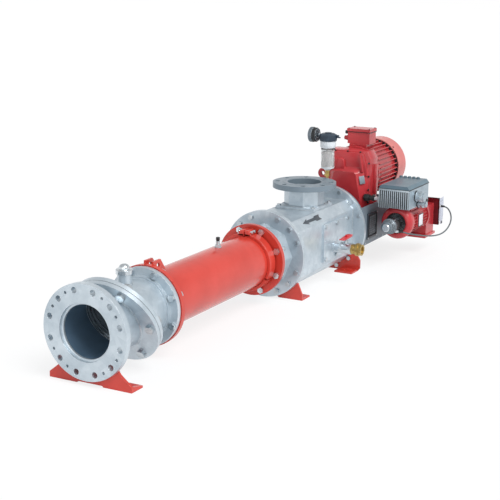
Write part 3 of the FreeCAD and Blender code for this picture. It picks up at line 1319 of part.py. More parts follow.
def fan_cover():
    body = piece("fan_cover", ("0", "0", "motor_level"))
    outer = "fan_cover_dia / 2"
    inner = f"{outer} - fan_cover_wall"
    start, end = "motor_frame_end - 8", "motor_frame_end + fan_cover_length"
    points = [(start, inner), (start, outer), (f"{end} - 16", outer), (end, f"{outer} - 14"), (end, "0"), (f"{end} - fan_cover_wall", "0"),
              (f"{end} - fan_cover_wall", f"{outer} - 16"), (f"{end} - 17", inner)]
    turned(body, "shell", points)
    grille(body, f"{end} - 6", "8", (("26", "60"), ("68", "104")), "24")


def terminal_box():
    body = piece("terminal_box", ("0", "0", "terminal_box_bottom"))
    x, w = "terminal_box_start", "terminal_box_width"
    height = "terminal_box_top - terminal_box_bottom"
    block(body, "box", (x, f"-{w} / 2", "0"), ("terminal_box_length", w, f"{height} - terminal_lid_thick"))
    block(body, "lid", (f"{x} - 3", f"-{w} / 2 - 3", f"{height} - terminal_lid_thick"), ("terminal_box_length + 6", f"{w} + 6", "terminal_lid_thick"))
    rod(body, "gland", (f"{x} + 24", f"{w} / 2 - 1", "24"), "24", "16", ALONG_Y)
    prism(body, "gland_nut", (f"{x} + 24", f"{w} / 2 + 15", "24"), "6", "11", "10", ALONG_Y)


# Seal fluid reservoir
RESERVOIR_FRAME = ("reservoir_station", "reservoir_offset", "0")


def reservoir_fitting():
    """The brass fitting and the riser from the seal housing."""
    body = piece("reservoir_fitting", RESERVOIR_FRAME)
    low = "sqrt(seal_barrel_dia * seal_barrel_dia / 4 - reservoir_offset * reservoir_offset)"
    rod(body, "riser", ("0", "0", f"{low} - 5"), "riser_dia", f"fitting_bottom - {low} + 8", ALONG_Z)
    prism(body, "hexagon", ("0", "0", "fitting_bottom"), "6", "fitting_dia / 2", "14", ALONG_Z)
    rod(body, "neck", ("0", "0", "fitting_bottom + 14"), "18", "8", ALONG_Z)
    rod(body, "nut", ("0", "0", "fitting_bottom + 22"), "fitting_dia - 3", "reservoir_bottom - fitting_bottom - 22", ALONG_Z)
    rod(body, "barrel_room", ("-40", "-reservoir_offset", "0"), "seal_barrel_dia + 0.2", "80", cut=True)


def seal_reservoir():
    """The clear cylinder that holds the seal fluid."""
    body = piece("seal_reservoir", RESERVOIR_FRAME)
    outer = "reservoir_dia / 2"
    low = "reservoir_bottom"
    top = "reservoir_bottom + reservoir_height"
    points = [("0", low), ("15", low), (f"{outer} - 4", f"{low} + 6"), (outer, f"{low} + 14"), (outer, top), (f"{outer} - reservoir_wall", top),
              (f"{outer} - reservoir_wall", f"{low} + 16"), ("12", f"{low} + 6"), ("0", f"{low} + 6")]
    turned(body, "vessel", points, axis="Z_Axis")


def reservoir_cap():
    body = piece("reservoir_cap", RESERVOIR_FRAME)
    low = "reservoir_bottom + reservoir_height"
    rod(body, "cap", ("0", "0", f"{low}"), "reservoir_cap_dia", "reservoir_cap_height - 8", ALONG_Z)
    cone(body, "crown", ("0", "0", f"{low} + reservoir_cap_height - 8"), "reservoir_cap_dia", "reservoir_cap_dia - 22", "6", ALONG_Z)
    rod(body, "button", ("0", "0", f"{low} + reservoir_cap_height - 3"), "30", "5", ALONG_Z)
    rod(body, "spigot", ("0", "-reservoir_cap_dia / 2 + 2", "gauge_level"), "9", "16", ALONG_MINUS_Y)


def reservoir_gauge():
    """A round gauge on a short arm at the cap's far side."""
    body = piece("reservoir_gauge", ("reservoir_station", "reservoir_offset + reservoir_cap_dia / 2", "gauge_level"))
    prism(body, "nut", ("0", "0", "0"), "6", "13", "14", ALONG_Y)
    rod(body, "back", ("0", "14", "0"), "gauge_dia - 16", "10", ALONG_Y)
    rod(body, "case", ("0", "24", "0"), "gauge_dia", "gauge_reach - reservoir_cap_dia / 2 - 30", ALONG_Y)
    rod(body, "bezel", ("0", "gauge_reach - reservoir_cap_dia / 2 - 8", "0"), "gauge_dia - 8", "8", ALONG_Y)


# Adjusting drive
ADJUST_FRAME = ("0", "adjust_offset", "adjust_level")


def adjusting_motor():
    """The small motor's finned frame, with its seat for the inverter."""
    body = piece("adjusting_motor", ADJUST_FRAME)
    end = "adjust_frame_end"
    start = "adjust_cover_end - 8"
    outer = "adjust_frame_dia / 2"
    rim = "adjust_cover_dia / 2 - adjust_cover_wall - 0.3"
    bore = "adjust_shaft_dia / 2 + running_clearance"
    points = [(start, bore), (start, rim), (f"{start} + 9", rim), (f"{start} + 9", outer), (end, outer), (end, "adjust_flange_dia / 2"),
              (f"{end} + adjust_flange_thick", "adjust_flange_dia / 2"), (f"{end} + adjust_flange_thick", bore)]
    turned(body, "frame", points)
    fin = block(body, "fin", (f"{start} + 14", "-1.5", f"{outer} - 2"), (f"{end} - ({start}) - 20", "3", "adjust_fin_height + 2"))
    ring(body, "fins", [fin], "adjust_fins")
    seat = "inverter_bottom - adjust_level - 45"
    block(body, "inverter_seat", ("adjust_cover_end + 16", "-48", "45"), ("110", "96", seat))


def adjusting_fan_cover():
    body = piece("adjusting_fan_cover", ADJUST_FRAME)
    outer = "adjust_cover_dia / 2"
    inner = f"{outer} - adjust_cover_wall"
    start, end = "adjust_cover_start", "adjust_cover_end"
    wall = "adjust_cover_wall"
    points = [(end, inner), (end, outer), (f"{start} + 14", outer), (start, f"{outer} - 12"), (start, "11"), (f"{start} + {wall}", "11"),
              (f"{start} + {wall}", f"{outer} - 13.5"), (f"{start} + 14.6", inner)]
    turned(body, "shell", points)
    grille(body, f"{start} - 2", "6", (("20", "36"), ("41", "60")), "20")


def adjusting_rotor():
    """The small motor's shaft, from the encoder to the gear block, with its fan."""
    body = piece("adjusting_rotor", ADJUST_FRAME)
    rod(body, "shaft", ("encoder_start + encoder_length - 12", "0", "0"), "adjust_shaft_dia", "gear_block_start + 30 - encoder_start - encoder_length + 12")
    start = "adjust_cover_start + 22"
    rod(body, "hub", (start, "0", "0"), "adjust_shaft_dia + 16", "24")
    rod(body, "disc", (f"{start} + 21", "0", "0"), "adjust_fan_dia - 12", "3")
    blade = block(body, "blade", (start, "-1.2", "adjust_shaft_dia / 2 + 4"), ("24", "2.4", "adjust_fan_dia / 2 - adjust_shaft_dia / 2 - 4"))
    ring(body, "blades", [blade], "fan_blades")


def encoder():
    """The shaft encoder, held off the fan cover by three pillars and a ring."""
    body = piece("encoder", ADJUST_FRAME)
    start = "encoder_start"
    ring_start = f"{start} + encoder_length"
    rod(body, "case", (start, "0", "0"), "encoder_dia", "encoder_length")
    rod(body, "collar", (ring_start, "0", "0"), "encoder_neck_dia", "14")
    pillar = rod(body, "pillar", (ring_start, "0", "encoder_neck_dia / 2 - 8"), "12", f"adjust_cover_start - ({ring_start})")
    ring(body, "pillars", [pillar], "3")
    bore = "adjust_shaft_dia + 2 * running_clearance"
    rod(body, "bore", (f"{ring_start} - 14", "0", "0"), bore, "40", cut=True)
    rod(body, "cable_gland", (f"{ring_start} + 7", "-encoder_neck_dia / 2 + 6", "-20"), "gland_dia - 4", "16", ALONG_MINUS_Y)


def adjusting_gearbox():
    """The small gear block with its adaptor and the tube that ties it to the lantern's wall."""
    body = piece("adjusting_gearbox")
    y, z = "adjust_offset", "adjust_level"
    x, length = "gear_block_start", "gear_block_length"
    height = "gear_block_top - gear_block_bottom"
    block(body, "block", (x, "gear_block_side", "gear_block_bottom"), (length, "gear_block_width", height))
    cone(body, "adaptor", ("adjust_frame_end + adjust_flange_thick", y, z), "adjust_flange_dia", "gear_block_width", f"{x} - adjust_frame_end - adjust_flange_thick")
    level = "torque_tube_level"
    mid = "torque_tube_station"
    rod(body, "torque_tube", (mid, "gear_block_inner - 4", level), "torque_tube_dia", "-lantern_half_width - gear_block_inner + 4", ALONG_Y)
    rod(body, "tube_flange", (mid, "-lantern_half_width - 10", level), "torque_tube_dia + 34", "10", ALONG_Y)
    block(body, "base", (f"{x} - 26", "gear_block_side - 6", "gear_block_bottom - 10"), (f"{length} + 40", "gear_block_width + 12", "12"))
    rod(body, "motor_bore", ("adjust_frame_end", y, z), "adjust_shaft_dia + 2 * running_clearance", f"{x} + 31 - adjust_frame_end", cut=True)
    rod(body, "output_bore", (mid, "gear_block_inner - 50", level), "output_shaft_dia + 2 * running_clearance", "51 - lantern_half_width - gear_block_inner",
        ALONG_Y, cut=True)


def adjusting_output_shaft():
    """The gear block's output shaft, through the lantern's wall to its hub."""
    body = piece("adjusting_output_shaft", ("torque_tube_station", "0", "torque_tube_level"))
    start = "gear_block_inner - 48"
    rod(body, "shaft", ("0", start, "0"), "output_shaft_dia", f"-lantern_half_width + 64 - ({start})", ALONG_Y)
    rod(body, "hub", ("0", "-lantern_half_width + 20", "0"), "output_shaft_dia + 24", "44", ALONG_Y)
    rod(body, "pin", ("0", "-lantern_half_width + 42", "-output_shaft_dia / 2 - 16"), "8", "output_shaft_dia + 32", ALONG_Z)


def inverter_body():
    """The finned heat sink that carries the inverter, arched over the fan cover."""
    body = piece("inverter_body", ("inverter_start", "adjust_offset", "0"))
    half = "inverter_width / 2"
    block(body, "case", ("0", f"-{half}", "inverter_bottom"), ("inverter_length", "inverter_width", "inverter_split - inverter_bottom"))
    slot = block(body, "slot", ("-1", f"-{half} + 6", "inverter_bottom - 1"), ("inverter_fin_depth + 1", "inverter_fin_pitch * 0.45", "inverter_split - inverter_bottom - 22"),
                 cut=True)
    row(body, "slots", [slot], "floor((inverter_width - 12) / inverter_fin_pitch)", "floor((inverter_width - 12) / inverter_fin_pitch - 1) * inverter_fin_pitch", "Y_Axis")
    rod(body, "arch", ("-1", "0", "adjust_level"), "adjust_cover_dia + 5", "adjust_cover_end - inverter_start + 3", cut=True)


def inverter_cover():
    body = piece("inverter_cover", ("inverter_start", "adjust_offset", "inverter_split"))
    w = "inverter_width / 2"
    height = "inverter_top - inverter_split"
    points = [(f"-{w}", "0"), (w, "0"), (w, "4"), (f"{w} - 12", height), (f"-{w} + 12", height), (f"-{w}", "4")]
    plate(body, "lid", "YZ_Plane", points, "-3", "inverter_length + 6")


def inverter_connectors():
    """The plug connectors on the inverter's outer side."""
    body = piece("inverter_connectors", ("inverter_start", "adjust_offset - inverter_width / 2", "0"))
    for name, x, z, dia in (("power", "92", "140", "46"), ("signal", "120", "100", "30")):
        rod(body, name + "_base", (x, "0", z), f"{dia} + 6", "8", ALONG_MINUS_Y)
        rod(body, name + "_shell", (x, "-8", z), dia, "26", ALONG_MINUS_Y)
        prism(body, name + "_nut", (x, "-34", z), "6", f"{dia} / 2", "10", ALONG_MINUS_Y)


def switch_bracket():
    """A folded bracket with a switch box at the gear block's end."""
    body = piece("switch_bracket", ("switch_box_station", "0", "0"))
    t = "switch_panel_thick"
    low = "switch_box_bottom"
    height = "switch_box_top - switch_box_bottom"
    block(body, "panel", ("0", "gear_block_side - switch_box_width", low), (t, "switch_box_width + 40", height))
    block(body, "side", ("0", "gear_block_side - switch_box_width", low), ("switch_box_length", t, height))
    block(body, "foot", ("switch_box_length - 34", "gear_block_side - switch_box_width", f"{low} - 14"), ("26", t, "16"))
    rod(body, "foot_hole", ("switch_box_length - 21", "gear_block_side - switch_box_width - 1", f"{low} - 3"), "9", f"{t} + 2", ALONG_Y, cut=True)
    rod(body, "cable_gland", ("2", "gear_block_side - switch_box_width + 1", "33"), "gland_dia - 4", "12", ALONG_MINUS_Y)


# Control cable, from the encoder's gland to the switch box's gland
CABLE_ROUTE = [
    (2009, -325, -8), (2009, -346, -8), (2024, -366, -16), (2058, -383, -25), (2112, -394, -38), (2185, -401, -55),
    (2262, -406, -69), (2340, -410, -78), (2408, -413, -76), (2462, -414, -62), (2494, -414, -40), (2504, -411, -13),
    (2500, -402, 14), (2492, -386, 33), (2492, -361, 33),
]


def control_cable():
    """A tube of straight runs joined by tangent arcs, as large as the runs allow."""
    spots = [Vector(*spot) for spot in CABLE_ROUTE]
    radius = number("cable_dia / 2")
    edges, radii = [], []
    last = spots[0]
    for before, corner, after in zip(spots, spots[1:], spots[2:]):
        into = (corner - before)
        out = (after - corner)
        shorter = min(into.Length, out.Length)
        half = into.getAngle(out) / 2
        bend = 0.45 * shorter / math.tan(half)
        radii.append(bend)
        tangent = 0.45 * shorter
        into.normalize()
        out.normalize()
        start, end = corner - into * tangent, corner + out * tangent
        middle_way = (out - into)
        middle_way.normalize()
        centre = corner + middle_way * (bend / math.cos(half))
        middle = centre - middle_way * bend
        edges.append(Part.LineSegment(last, start).toShape())
        edges.append(Part.Arc(start, middle, end).toShape())
        last = end
    edges.append(Part.LineSegment(last, spots[-1]).toShape())
    path = Part.Wire(edges)
    heading = spots[1] - spots[0]
    heading.normalize()
    section = Part.Wire(Part.Circle(spots[0], heading, radius).toShape())
    tube = path.makePipeShell([section], True, True)
    expected = math.pi * radius ** 2 * path.Length
    print(f"cable length {path.Length:.0f}, least bend radius {min(radii):.0f}, volume ratio {tube.Volume / expected:.4f}")
    set_shape("control_cable", tube)


def check_and_write():
    """Stop on a failed feature or an invalid shape, then write one STEP file for each sub-part."""
    doc.recompute()
    failed = [feature.Name for feature in doc.Objects if "Invalid" in feature.State or "Error" in feature.State]
    if failed:
        raise RuntimeError(f"features failed: {failed}")
    broken = [item.Label for item in PIECES if item.Shape.isNull() or not item.Shape.isValid() or not item.Shape.Solids]
    if broken:
        raise RuntimeError(f"shapes not valid: {broken}")
    os.makedirs("parts", exist_ok=True)
    for item in PIECES:
        item.Shape.exportStep(f"parts/{item.Label}.step")
    print(f"{len(PIECES)} sub-parts, {sum(len(item.Shape.Solids) for item in PIECES)} solids")


for build in (
    discharge_nozzle, outlet_adapter, flange_gaskets, oblique_flange_bolts, vent_plug, front_foot, middle_foot, rear_foot, foot_bolts,
    stator_tube, stator_bolts, stator_lining, rotor, coupling_rod, joint_boots, clamp_ring, temperature_probe, housing_adapter,
    suction_housing, housing_bolts, inlet_neck, inspection_cover, cover_bolts, valve_body, valve_ball, valve_lever, hose_coupling,
    seal_housing, seal_rings, drive_shaft, output_gear, intermediate_gear, motor_rotor, shaft_bearings, lantern, window_guards,
    gearbox_housing, gearbox_cover, motor_frame, motor_winding, motor_fan, fan_cover, terminal_box, reservoir_fitting, seal_reservoir,
    reservoir_cap, reservoir_gauge, adjusting_motor, adjusting_fan_cover, adjusting_rotor, encoder, adjusting_gearbox,
    adjusting_output_shaft, inverter_body, inverter_cover, inverter_connectors, switch_bracket, control_cable,
):
    build()
check_and_write()
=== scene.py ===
import json
import math

import bmesh
import bpy
from mathutils import Matrix, Vector

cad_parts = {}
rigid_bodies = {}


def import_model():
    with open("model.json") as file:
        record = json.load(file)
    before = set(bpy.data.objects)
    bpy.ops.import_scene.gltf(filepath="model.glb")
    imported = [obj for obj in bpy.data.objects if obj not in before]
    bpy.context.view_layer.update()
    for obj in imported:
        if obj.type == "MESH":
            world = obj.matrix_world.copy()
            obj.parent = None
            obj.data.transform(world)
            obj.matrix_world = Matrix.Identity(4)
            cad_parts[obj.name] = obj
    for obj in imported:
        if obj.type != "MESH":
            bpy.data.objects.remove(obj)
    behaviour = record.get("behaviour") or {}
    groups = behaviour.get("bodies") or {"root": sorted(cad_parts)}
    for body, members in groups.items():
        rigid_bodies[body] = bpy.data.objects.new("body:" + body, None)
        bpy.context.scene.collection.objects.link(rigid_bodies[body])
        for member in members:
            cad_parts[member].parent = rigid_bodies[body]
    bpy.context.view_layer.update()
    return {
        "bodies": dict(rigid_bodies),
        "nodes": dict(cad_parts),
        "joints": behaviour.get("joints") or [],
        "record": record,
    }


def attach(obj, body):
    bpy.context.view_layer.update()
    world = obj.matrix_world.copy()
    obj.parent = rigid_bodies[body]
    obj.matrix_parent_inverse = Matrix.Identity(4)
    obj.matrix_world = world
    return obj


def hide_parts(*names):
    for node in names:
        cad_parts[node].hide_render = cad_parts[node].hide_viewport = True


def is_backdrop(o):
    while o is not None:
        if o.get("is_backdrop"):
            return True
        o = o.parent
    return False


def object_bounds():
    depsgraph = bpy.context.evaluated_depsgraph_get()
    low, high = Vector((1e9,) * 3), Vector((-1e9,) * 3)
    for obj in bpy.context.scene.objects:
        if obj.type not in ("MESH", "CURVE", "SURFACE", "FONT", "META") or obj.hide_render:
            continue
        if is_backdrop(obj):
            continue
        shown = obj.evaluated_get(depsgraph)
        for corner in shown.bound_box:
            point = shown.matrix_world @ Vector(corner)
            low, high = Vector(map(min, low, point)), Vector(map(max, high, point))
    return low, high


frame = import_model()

bl_info = {
    "name": "Progressive cavity pump dressing",
    "version": (1, 0, 0),
    "blender": (4, 5, 0),
    "location": "3D View > Sidebar > Pump",
    "description": "Finishes, small fittings, cable and studio for the packed pump",
    "category": "Object",
}

NODES = frame["nodes"]
SLOT_OF = {part["node"]: part["material_slot"] for part in frame["record"]["subparts"]}
X, Y, Z = Vector((1, 0, 0)), Vector((0, 1, 0)), Vector((0, 0, 1))
AXES = {"X": X, "Y": Y, "Z": Z}
# edges that turn by more than this are drawn sharp
SHARP_DEGREES = 38


def mm(value):
    """Millimetres as metres."""
    return value / 1000


def point_mm(x, y, z):
    """A point given in millimetres."""
    return Vector((x, y, z)) / 1000


def pattern_scale(size_mm):
    """The texture scale at which one feature of the pattern is this many millimetres across."""
    return 1000 / size_mm


def linear(code, alpha=1.0):
    """An sRGB hex colour as the linear values that a shader takes."""
    parts = [int(code[i:i + 2], 16) / 255 for i in (1, 3, 5)]
    return (*[p / 12.92 if p <= 0.04045 else ((p + 0.055) / 1.055) ** 2.4 for p in parts], alpha)


def add_node(tree, kind, inputs=None, **settings):
    """Adds a shader node, sets its properties, and gives each input a value or a link."""
    made = tree.nodes.new(kind)
    for name, value in settings.items():
        setattr(made, name, value)
    for name, value in (inputs or {}).items():
        if isinstance(value, bpy.types.NodeSocket):
            tree.links.new(value, made.inputs[name])
        else:
            made.inputs[name].default_value = value
    return made


def fresh_tree(owner):
    """The emptied node tree of a material or a world."""
    owner.use_nodes = True
    owner.node_tree.nodes.clear()
    return owner.node_tree


def put(name, data):
    """A new object of the scene that shows this data."""
    made = bpy.data.objects.new(name, data)
    bpy.context.scene.collection.objects.link(made)
    return made


def start_material(name, **finish):
    """A material with its shader, whose fixed values are given, and the piece's own coordinates."""
    material = bpy.data.materials.new(name)
    tree = fresh_tree(material)
    shader = add_node(tree, "ShaderNodeBsdfPrincipled")
    for socket, value in finish.items():
        shader.inputs[socket.replace("_", " ")].default_value = value
    add_node(tree, "ShaderNodeOutputMaterial", {"Surface": shader.outputs["BSDF"]})
    place = add_node(tree, "ShaderNodeTexCoord").outputs["Object"]
    return material, tree, shader, place


def noise(tree, place, size_mm, detail, **more):
    """Cloudy noise whose features are this many millimetres across."""
    inputs = {"Vector": place, "Scale": pattern_scale(size_mm), "Detail": detail, **more}
    return add_node(tree, "ShaderNodeTexNoise", inputs).outputs["Fac"]


def map_range(tree, value, low, high, to_low=0.0, to_high=1.0, **settings):
    """A value's range from low to high, laid onto another range."""
    inputs = {"Value": value, "From Min": low, "From Max": high, "To Min": to_low, "To Max": to_high}
    return add_node(tree, "ShaderNodeMapRange", inputs, **settings).outputs["Result"]


def reckon(tree, operation, first, second):
    """Two values put together by one operation."""
    return add_node(tree, "ShaderNodeMath", {0: first, 1: second}, operation=operation).outputs["Value"]


def mix_colours(tree, share, first, second):
    """A blend of two colours, each a hex code or a link, by the share of the second."""
    first, second = (linear(colour) if isinstance(colour, str) else colour for colour in (first, second))
    return add_node(tree, "ShaderNodeMix", {0: share, 6: first, 7: second}, data_type="RGBA").outputs[2]


def link_finish(tree, shader, colour, relief, strength, depth_mm, soft, rough=None):
    """Links a finish's colour and fine relief to its shader, and its roughness where that varies."""
    bump = add_node(tree, "ShaderNodeBump", {
        "Height": relief, "Strength": strength, "Distance": mm(depth_mm), "Normal": soft})
    tree.links.new(colour, shader.inputs["Base Color"])
    tree.links.new(bump.outputs["Normal"], shader.inputs["Normal"])
    if rough is not None:
        tree.links.new(rough, shader.inputs["Roughness"])


def edge_mask(tree, radius):
    """The softened normal of the piece's edges, and how near to an edge a point is, from 0 to 1."""
    soft = add_node(tree, "ShaderNodeBevel", {"Radius": radius}, samples=4).outputs["Normal"]
    flat = add_node(tree, "ShaderNodeNewGeometry").outputs["Normal"]
    match = add_node(tree, "ShaderNodeVectorMath", {0: soft, 1: flat}, operation="DOT_PRODUCT")
    return soft, map_range(tree, match.outputs["Value"], 0.97, 0.72)


def sprayed_enamel(name, colour, deep, pale, gloss):
    """Two-pack enamel sprayed on cast iron and steel.

    A glossy, even colour with the orange peel of the spray gun, a little deeper where the coat is thick
    and paler along the edges, partly where the coat is thin and partly as a painted highlight.
    """
    material, tree, shader, place = start_material(
        name, Roughness=gloss, IOR=1.45, Coat_Weight=0.15, Coat_Roughness=0.06)
    thick = map_range(tree, noise(tree, place, 140, 3.0), 0.35, 0.65)
    body = mix_colours(tree, thick, colour, deep)
    soft, edge = edge_mask(tree, mm(2.0))
    thin = map_range(tree, noise(tree, place, 12, 4.0), 0.3, 0.7, 0.0, 0.55)
    # paler edges: partly the thin coat, partly a painted highlight
    final = mix_colours(tree, reckon(tree, "MULTIPLY", edge, thin), body, pale)
    # real orange peel is 1 to 2 mm across; drawn at 4 mm so that it shows at this distance
    link_finish(tree, shader, final, noise(tree, place, 4, 1.0), 0.12, 0.4, soft)
    return material


def zinc_coating(name, light, dark, rough, spangle_mm, metal=0.75, painted_above=None):
    """Hot-dip galvanised steel.

    A satin blue-grey metal with the faint crystal flowers of the zinc, with a pale highlight painted along
    the edges. Above a level in millimetres it may be painted blue-grey, as a cast flange is.
    """
    material, tree, shader, place = start_material(name, Metallic=metal)
    flower = add_node(tree, "ShaderNodeTexVoronoi", {
        "Vector": place, "Scale": pattern_scale(spangle_mm), "Randomness": 1.0})
    shade = add_node(tree, "ShaderNodeSeparateColor", {"Color": flower.outputs["Color"]}).outputs["Red"]
    drift = map_range(tree, noise(tree, place, 110, 5.0, Roughness=0.6), 0.35, 0.65)
    blend = add_node(tree, "ShaderNodeMix", {0: 0.35, 2: drift, 3: shade}).outputs[0]
    body = mix_colours(tree, blend, light, dark)
    soft, edge = edge_mask(tree, mm(1.5))
    # a pale highlight painted along the edges
    final = mix_colours(tree, edge, body, "#E2E8EC")
    if painted_above is not None:
        level = add_node(tree, "ShaderNodeSeparateXYZ", {"Vector": place}).outputs["Z"]
        coat = reckon(tree, "GREATER_THAN", level, mm(painted_above))
        # the blue-grey paint is also lighter along the edges, a painted highlight
        final = mix_colours(tree, coat, final, mix_colours(tree, edge, "#75838D", "#A9B6BE"))
        tree.links.new(map_range(tree, coat, 0.0, 1.0, metal, 0.15), shader.inputs["Metallic"])
    satin = map_range(tree, blend, 0.0, 1.0, rough - 0.06, rough + 0.08)
    # the real grain is 0.1 mm; drawn at 2 mm so that it shows at this distance
    link_finish(tree, shader, final, noise(tree, place, 2, 2.0), 0.1, 0.3, soft, satin)
    return material


def machined_metal(name, light, dark, rough, line_mm):
    """Turned or milled bare metal: bright, with fine tool lines round the X axis."""
    material, tree, shader, place = start_material(name, Metallic=1.0)
    drawn = add_node(tree, "ShaderNodeMapping", {"Vector": place, "Scale": (1, 0.04, 0.04)}).outputs["Vector"]
    lines = noise(tree, drawn, line_mm, 4.0)
    shade = map_range(tree, lines, 0.3, 0.7)
    body = mix_colours(tree, shade, light, dark)
    soft = edge_mask(tree, mm(0.8))[0]
    satin = map_range(tree, shade, 0.0, 1.0, rough - 0.05, rough + 0.1)
    link_finish(tree, shader, body, lines, 0.15, 0.2, soft, satin)
    return material


def moulded(name, colour, worn, rough, grain_mm, strength):
    """Moulded plastic or rubber: an even colour with a fine eroded grain, greyer where it is rubbed."""
    material, tree, shader, place = start_material(name, IOR=1.46)
    cloud = noise(tree, place, 35, 4.0)
    body = mix_colours(tree, map_range(tree, cloud, 0.45, 0.75, 0.0, 0.6), colour, worn)
    soft, edge = edge_mask(tree, mm(1.0))
    final = mix_colours(tree, edge, body, worn)
    satin = map_range(tree, cloud, 0.0, 1.0, rough - 0.06, rough + 0.06)
    grain = add_node(tree, "ShaderNodeTexVoronoi", {"Vector": place, "Scale": pattern_scale(grain_mm)})
    link_finish(tree, shader, final, grain.outputs["Distance"], strength, 0.3, soft, satin)
    return material


def blown_acrylic(name, tint):
    """Clear acrylic vessel, a little milky: bright edges, and what it holds shows through."""
    material, tree, shader, place = start_material(name, IOR=1.49, Transmission_Weight=0.85)
    cloud = noise(tree, place, 30, 2.0)
    tree.links.new(mix_colours(tree, cloud, tint, "#FFFFFF"), shader.inputs["Base Color"])
    tree.links.new(map_range(tree, cloud, 0.0, 1.0, 0.12, 0.3), shader.inputs["Roughness"])
    return material


def laid(axis, along, u, v):
    """The coordinates of a point so far along an axis, and u, v across it."""
    return {"X": (along, u, v), "Y": (u, along, v), "Z": (u, v, along)}[axis]


def mirrored(half):
    """A half outline followed by its mirror image, back across the middle."""
    return half + [(-u, v) for u, v in reversed(half)]


def round_edges(shape, edges, rim):
    """Rounds some edges of a shape by a rim in millimetres; a rim of 0 leaves them sharp."""
    if rim:
        bmesh.ops.bevel(
            shape, geom=list(edges), offset=mm(rim), offset_type="OFFSET", segments=2, profile=0.5,
            affect="EDGES", material=-1, clamp_overlap=True)


def drum(shape, start, end, radius, rim=0.0, sides=32, tip=None):
    """A round bar between two points in millimetres, its rims rounded; tip is its radius at the end."""
    first, last = point_mm(*start), point_mm(*end)
    line = last - first
    place = Matrix.Translation((first + last) / 2) @ line.to_track_quat("Z", "X").to_matrix().to_4x4()
    made = bmesh.ops.create_cone(
        shape, cap_ends=True, segments=sides, radius1=mm(radius), radius2=mm(radius if tip is None else tip),
        depth=line.length, matrix=place)
    caps = {face for vert in made["verts"] for face in vert.link_faces if len(face.verts) > 4}
    round_edges(shape, {edge for face in caps for edge in face.edges}, rim)


def stack(shape, axis, across, *parts):
    """Round bars on one line along an axis; each part is a start, an end, a radius, a rim and its sides."""
    for start, end, radius, rim, sides in parts:
        drum(shape, laid(axis, start, *across), laid(axis, end, *across), radius, rim, sides)


def run_round(shape, points, radius, sides=8):
    """Round bars from point to point, in millimetres, and back to the first."""
    for first, last in zip(points, points[1:] + points[:1]):
        drum(shape, first, last, radius, sides=sides)


def slab(shape, low, high, rim=0.0, turn=None):
    """A block between two corners, in millimetres, its edges rounded, and turned by a matrix."""
    first, last = point_mm(*low), point_mm(*high)
    place = Matrix.Translation((first + last) / 2) @ Matrix.Diagonal((*(last - first), 1))
    made = bmesh.ops.create_cube(shape, size=1, matrix=(turn or Matrix()) @ place)
    round_edges(shape, {edge for vert in made["verts"] for edge in vert.link_edges}, rim)


def flat_face(shape, outline, axis, along):
    """A face across an axis with an outline in millimetres."""
    return shape.faces.new([shape.verts.new(point_mm(*laid(axis, along, u, v))) for u, v in outline])


def push(shape, outline, axis, low, high, rim=0.0):
    """An outline in millimetres, drawn across an axis and pushed along it."""
    face = flat_face(shape, outline, axis, low)
    near = list(face.verts)
    made = bmesh.ops.extrude_face_region(shape, geom=[face])["geom"]
    far = [part for part in made if isinstance(part, bmesh.types.BMVert)]
    bmesh.ops.translate(shape, verts=far, vec=AXES[axis] * mm(high - low))
    round_edges(shape, {edge for vert in near + far for edge in vert.link_edges}, rim)


def join_outlines(shape, axis, low, near, high, far, rim=0.0):
    """A closed body between two outlines of as many points each."""
    ends = flat_face(shape, near, axis, low), flat_face(shape, far, axis, high)
    bmesh.ops.bridge_loops(shape, edges=[edge for face in ends for edge in face.edges])
    round_edges(shape, {edge for face in ends for edge in face.edges}, rim)


def turned(shape, profile, centre, axis="X", steps=48, start=0.0, sweep=360.0):
    """Turns a profile of (along, radius) points in millimetres round an axis through a centre.

    A profile that starts away from the axis is closed, and one that starts on it stays open.
    """
    way, side = AXES[axis], Z if axis == "X" else X
    middle = point_mm(*centre)
    verts = [shape.verts.new(middle + way * mm(along) + side * mm(radius)) for along, radius in profile]
    edges = [shape.edges.new(pair) for pair in zip(verts, verts[1:])]
    geometry = verts + edges
    whole = abs(sweep) >= 360
    if whole and profile[0][1] > 0:
        geometry.append(shape.edges.new((verts[-1], verts[0])))
    if not whole:
        geometry.append(shape.faces.new(verts))
        bmesh.ops.rotate(shape, verts=verts, cent=middle, matrix=Matrix.Rotation(math.radians(start), 3, way))
    bmesh.ops.spin(
        shape, geom=geometry, cent=middle, axis=way, dvec=(0, 0, 0), angle=math.radians(sweep), steps=steps,
        use_merge=whole, use_duplicate=False)


def plain_ring(shape, start, end, inner, outer, centre, axis="X", steps=48):
    """A ring of square section between two stations along its axis."""
    turned(shape, [(start, inner), (start, outer), (end, outer), (end, inner)], centre, axis, steps)


def lean(verts, degrees):
    """Shears points along X by their height above the pump's axis, as the slanted joint lies."""
    for vert in verts:
        vert.co.x -= vert.co.z * math.tan(math.radians(degrees))


def hoop(shape, centre, radius, wire, axis="X", steps=64, sides=8, tilt=0.0):
    """A ring of round wire, sheared by a tilt in degrees."""
    turns = [2 * math.pi * i / sides for i in range(sides)]
    before = set(shape.verts)
    bead = [(wire * math.cos(turn), radius + wire * math.sin(turn)) for turn in turns]
    turned(shape, bead, centre, axis, steps)
    lean(set(shape.verts) - before, tilt)


def spread(count, centre, axis="X", start=0.0):
    """The turns that repeat a shape round an axis through a centre in millimetres."""
    middle = Matrix.Translation(point_mm(*centre))
    for i in range(count):
        angle = math.radians(start) + 2 * math.pi * i / count
        yield middle @ Matrix.Rotation(angle, 4, axis) @ middle.inverted()


def swing(turn, x, y, z):
    """Where a turn takes a point, all in millimetres."""
    return tuple(1000 * part for part in turn @ point_mm(x, y, z))


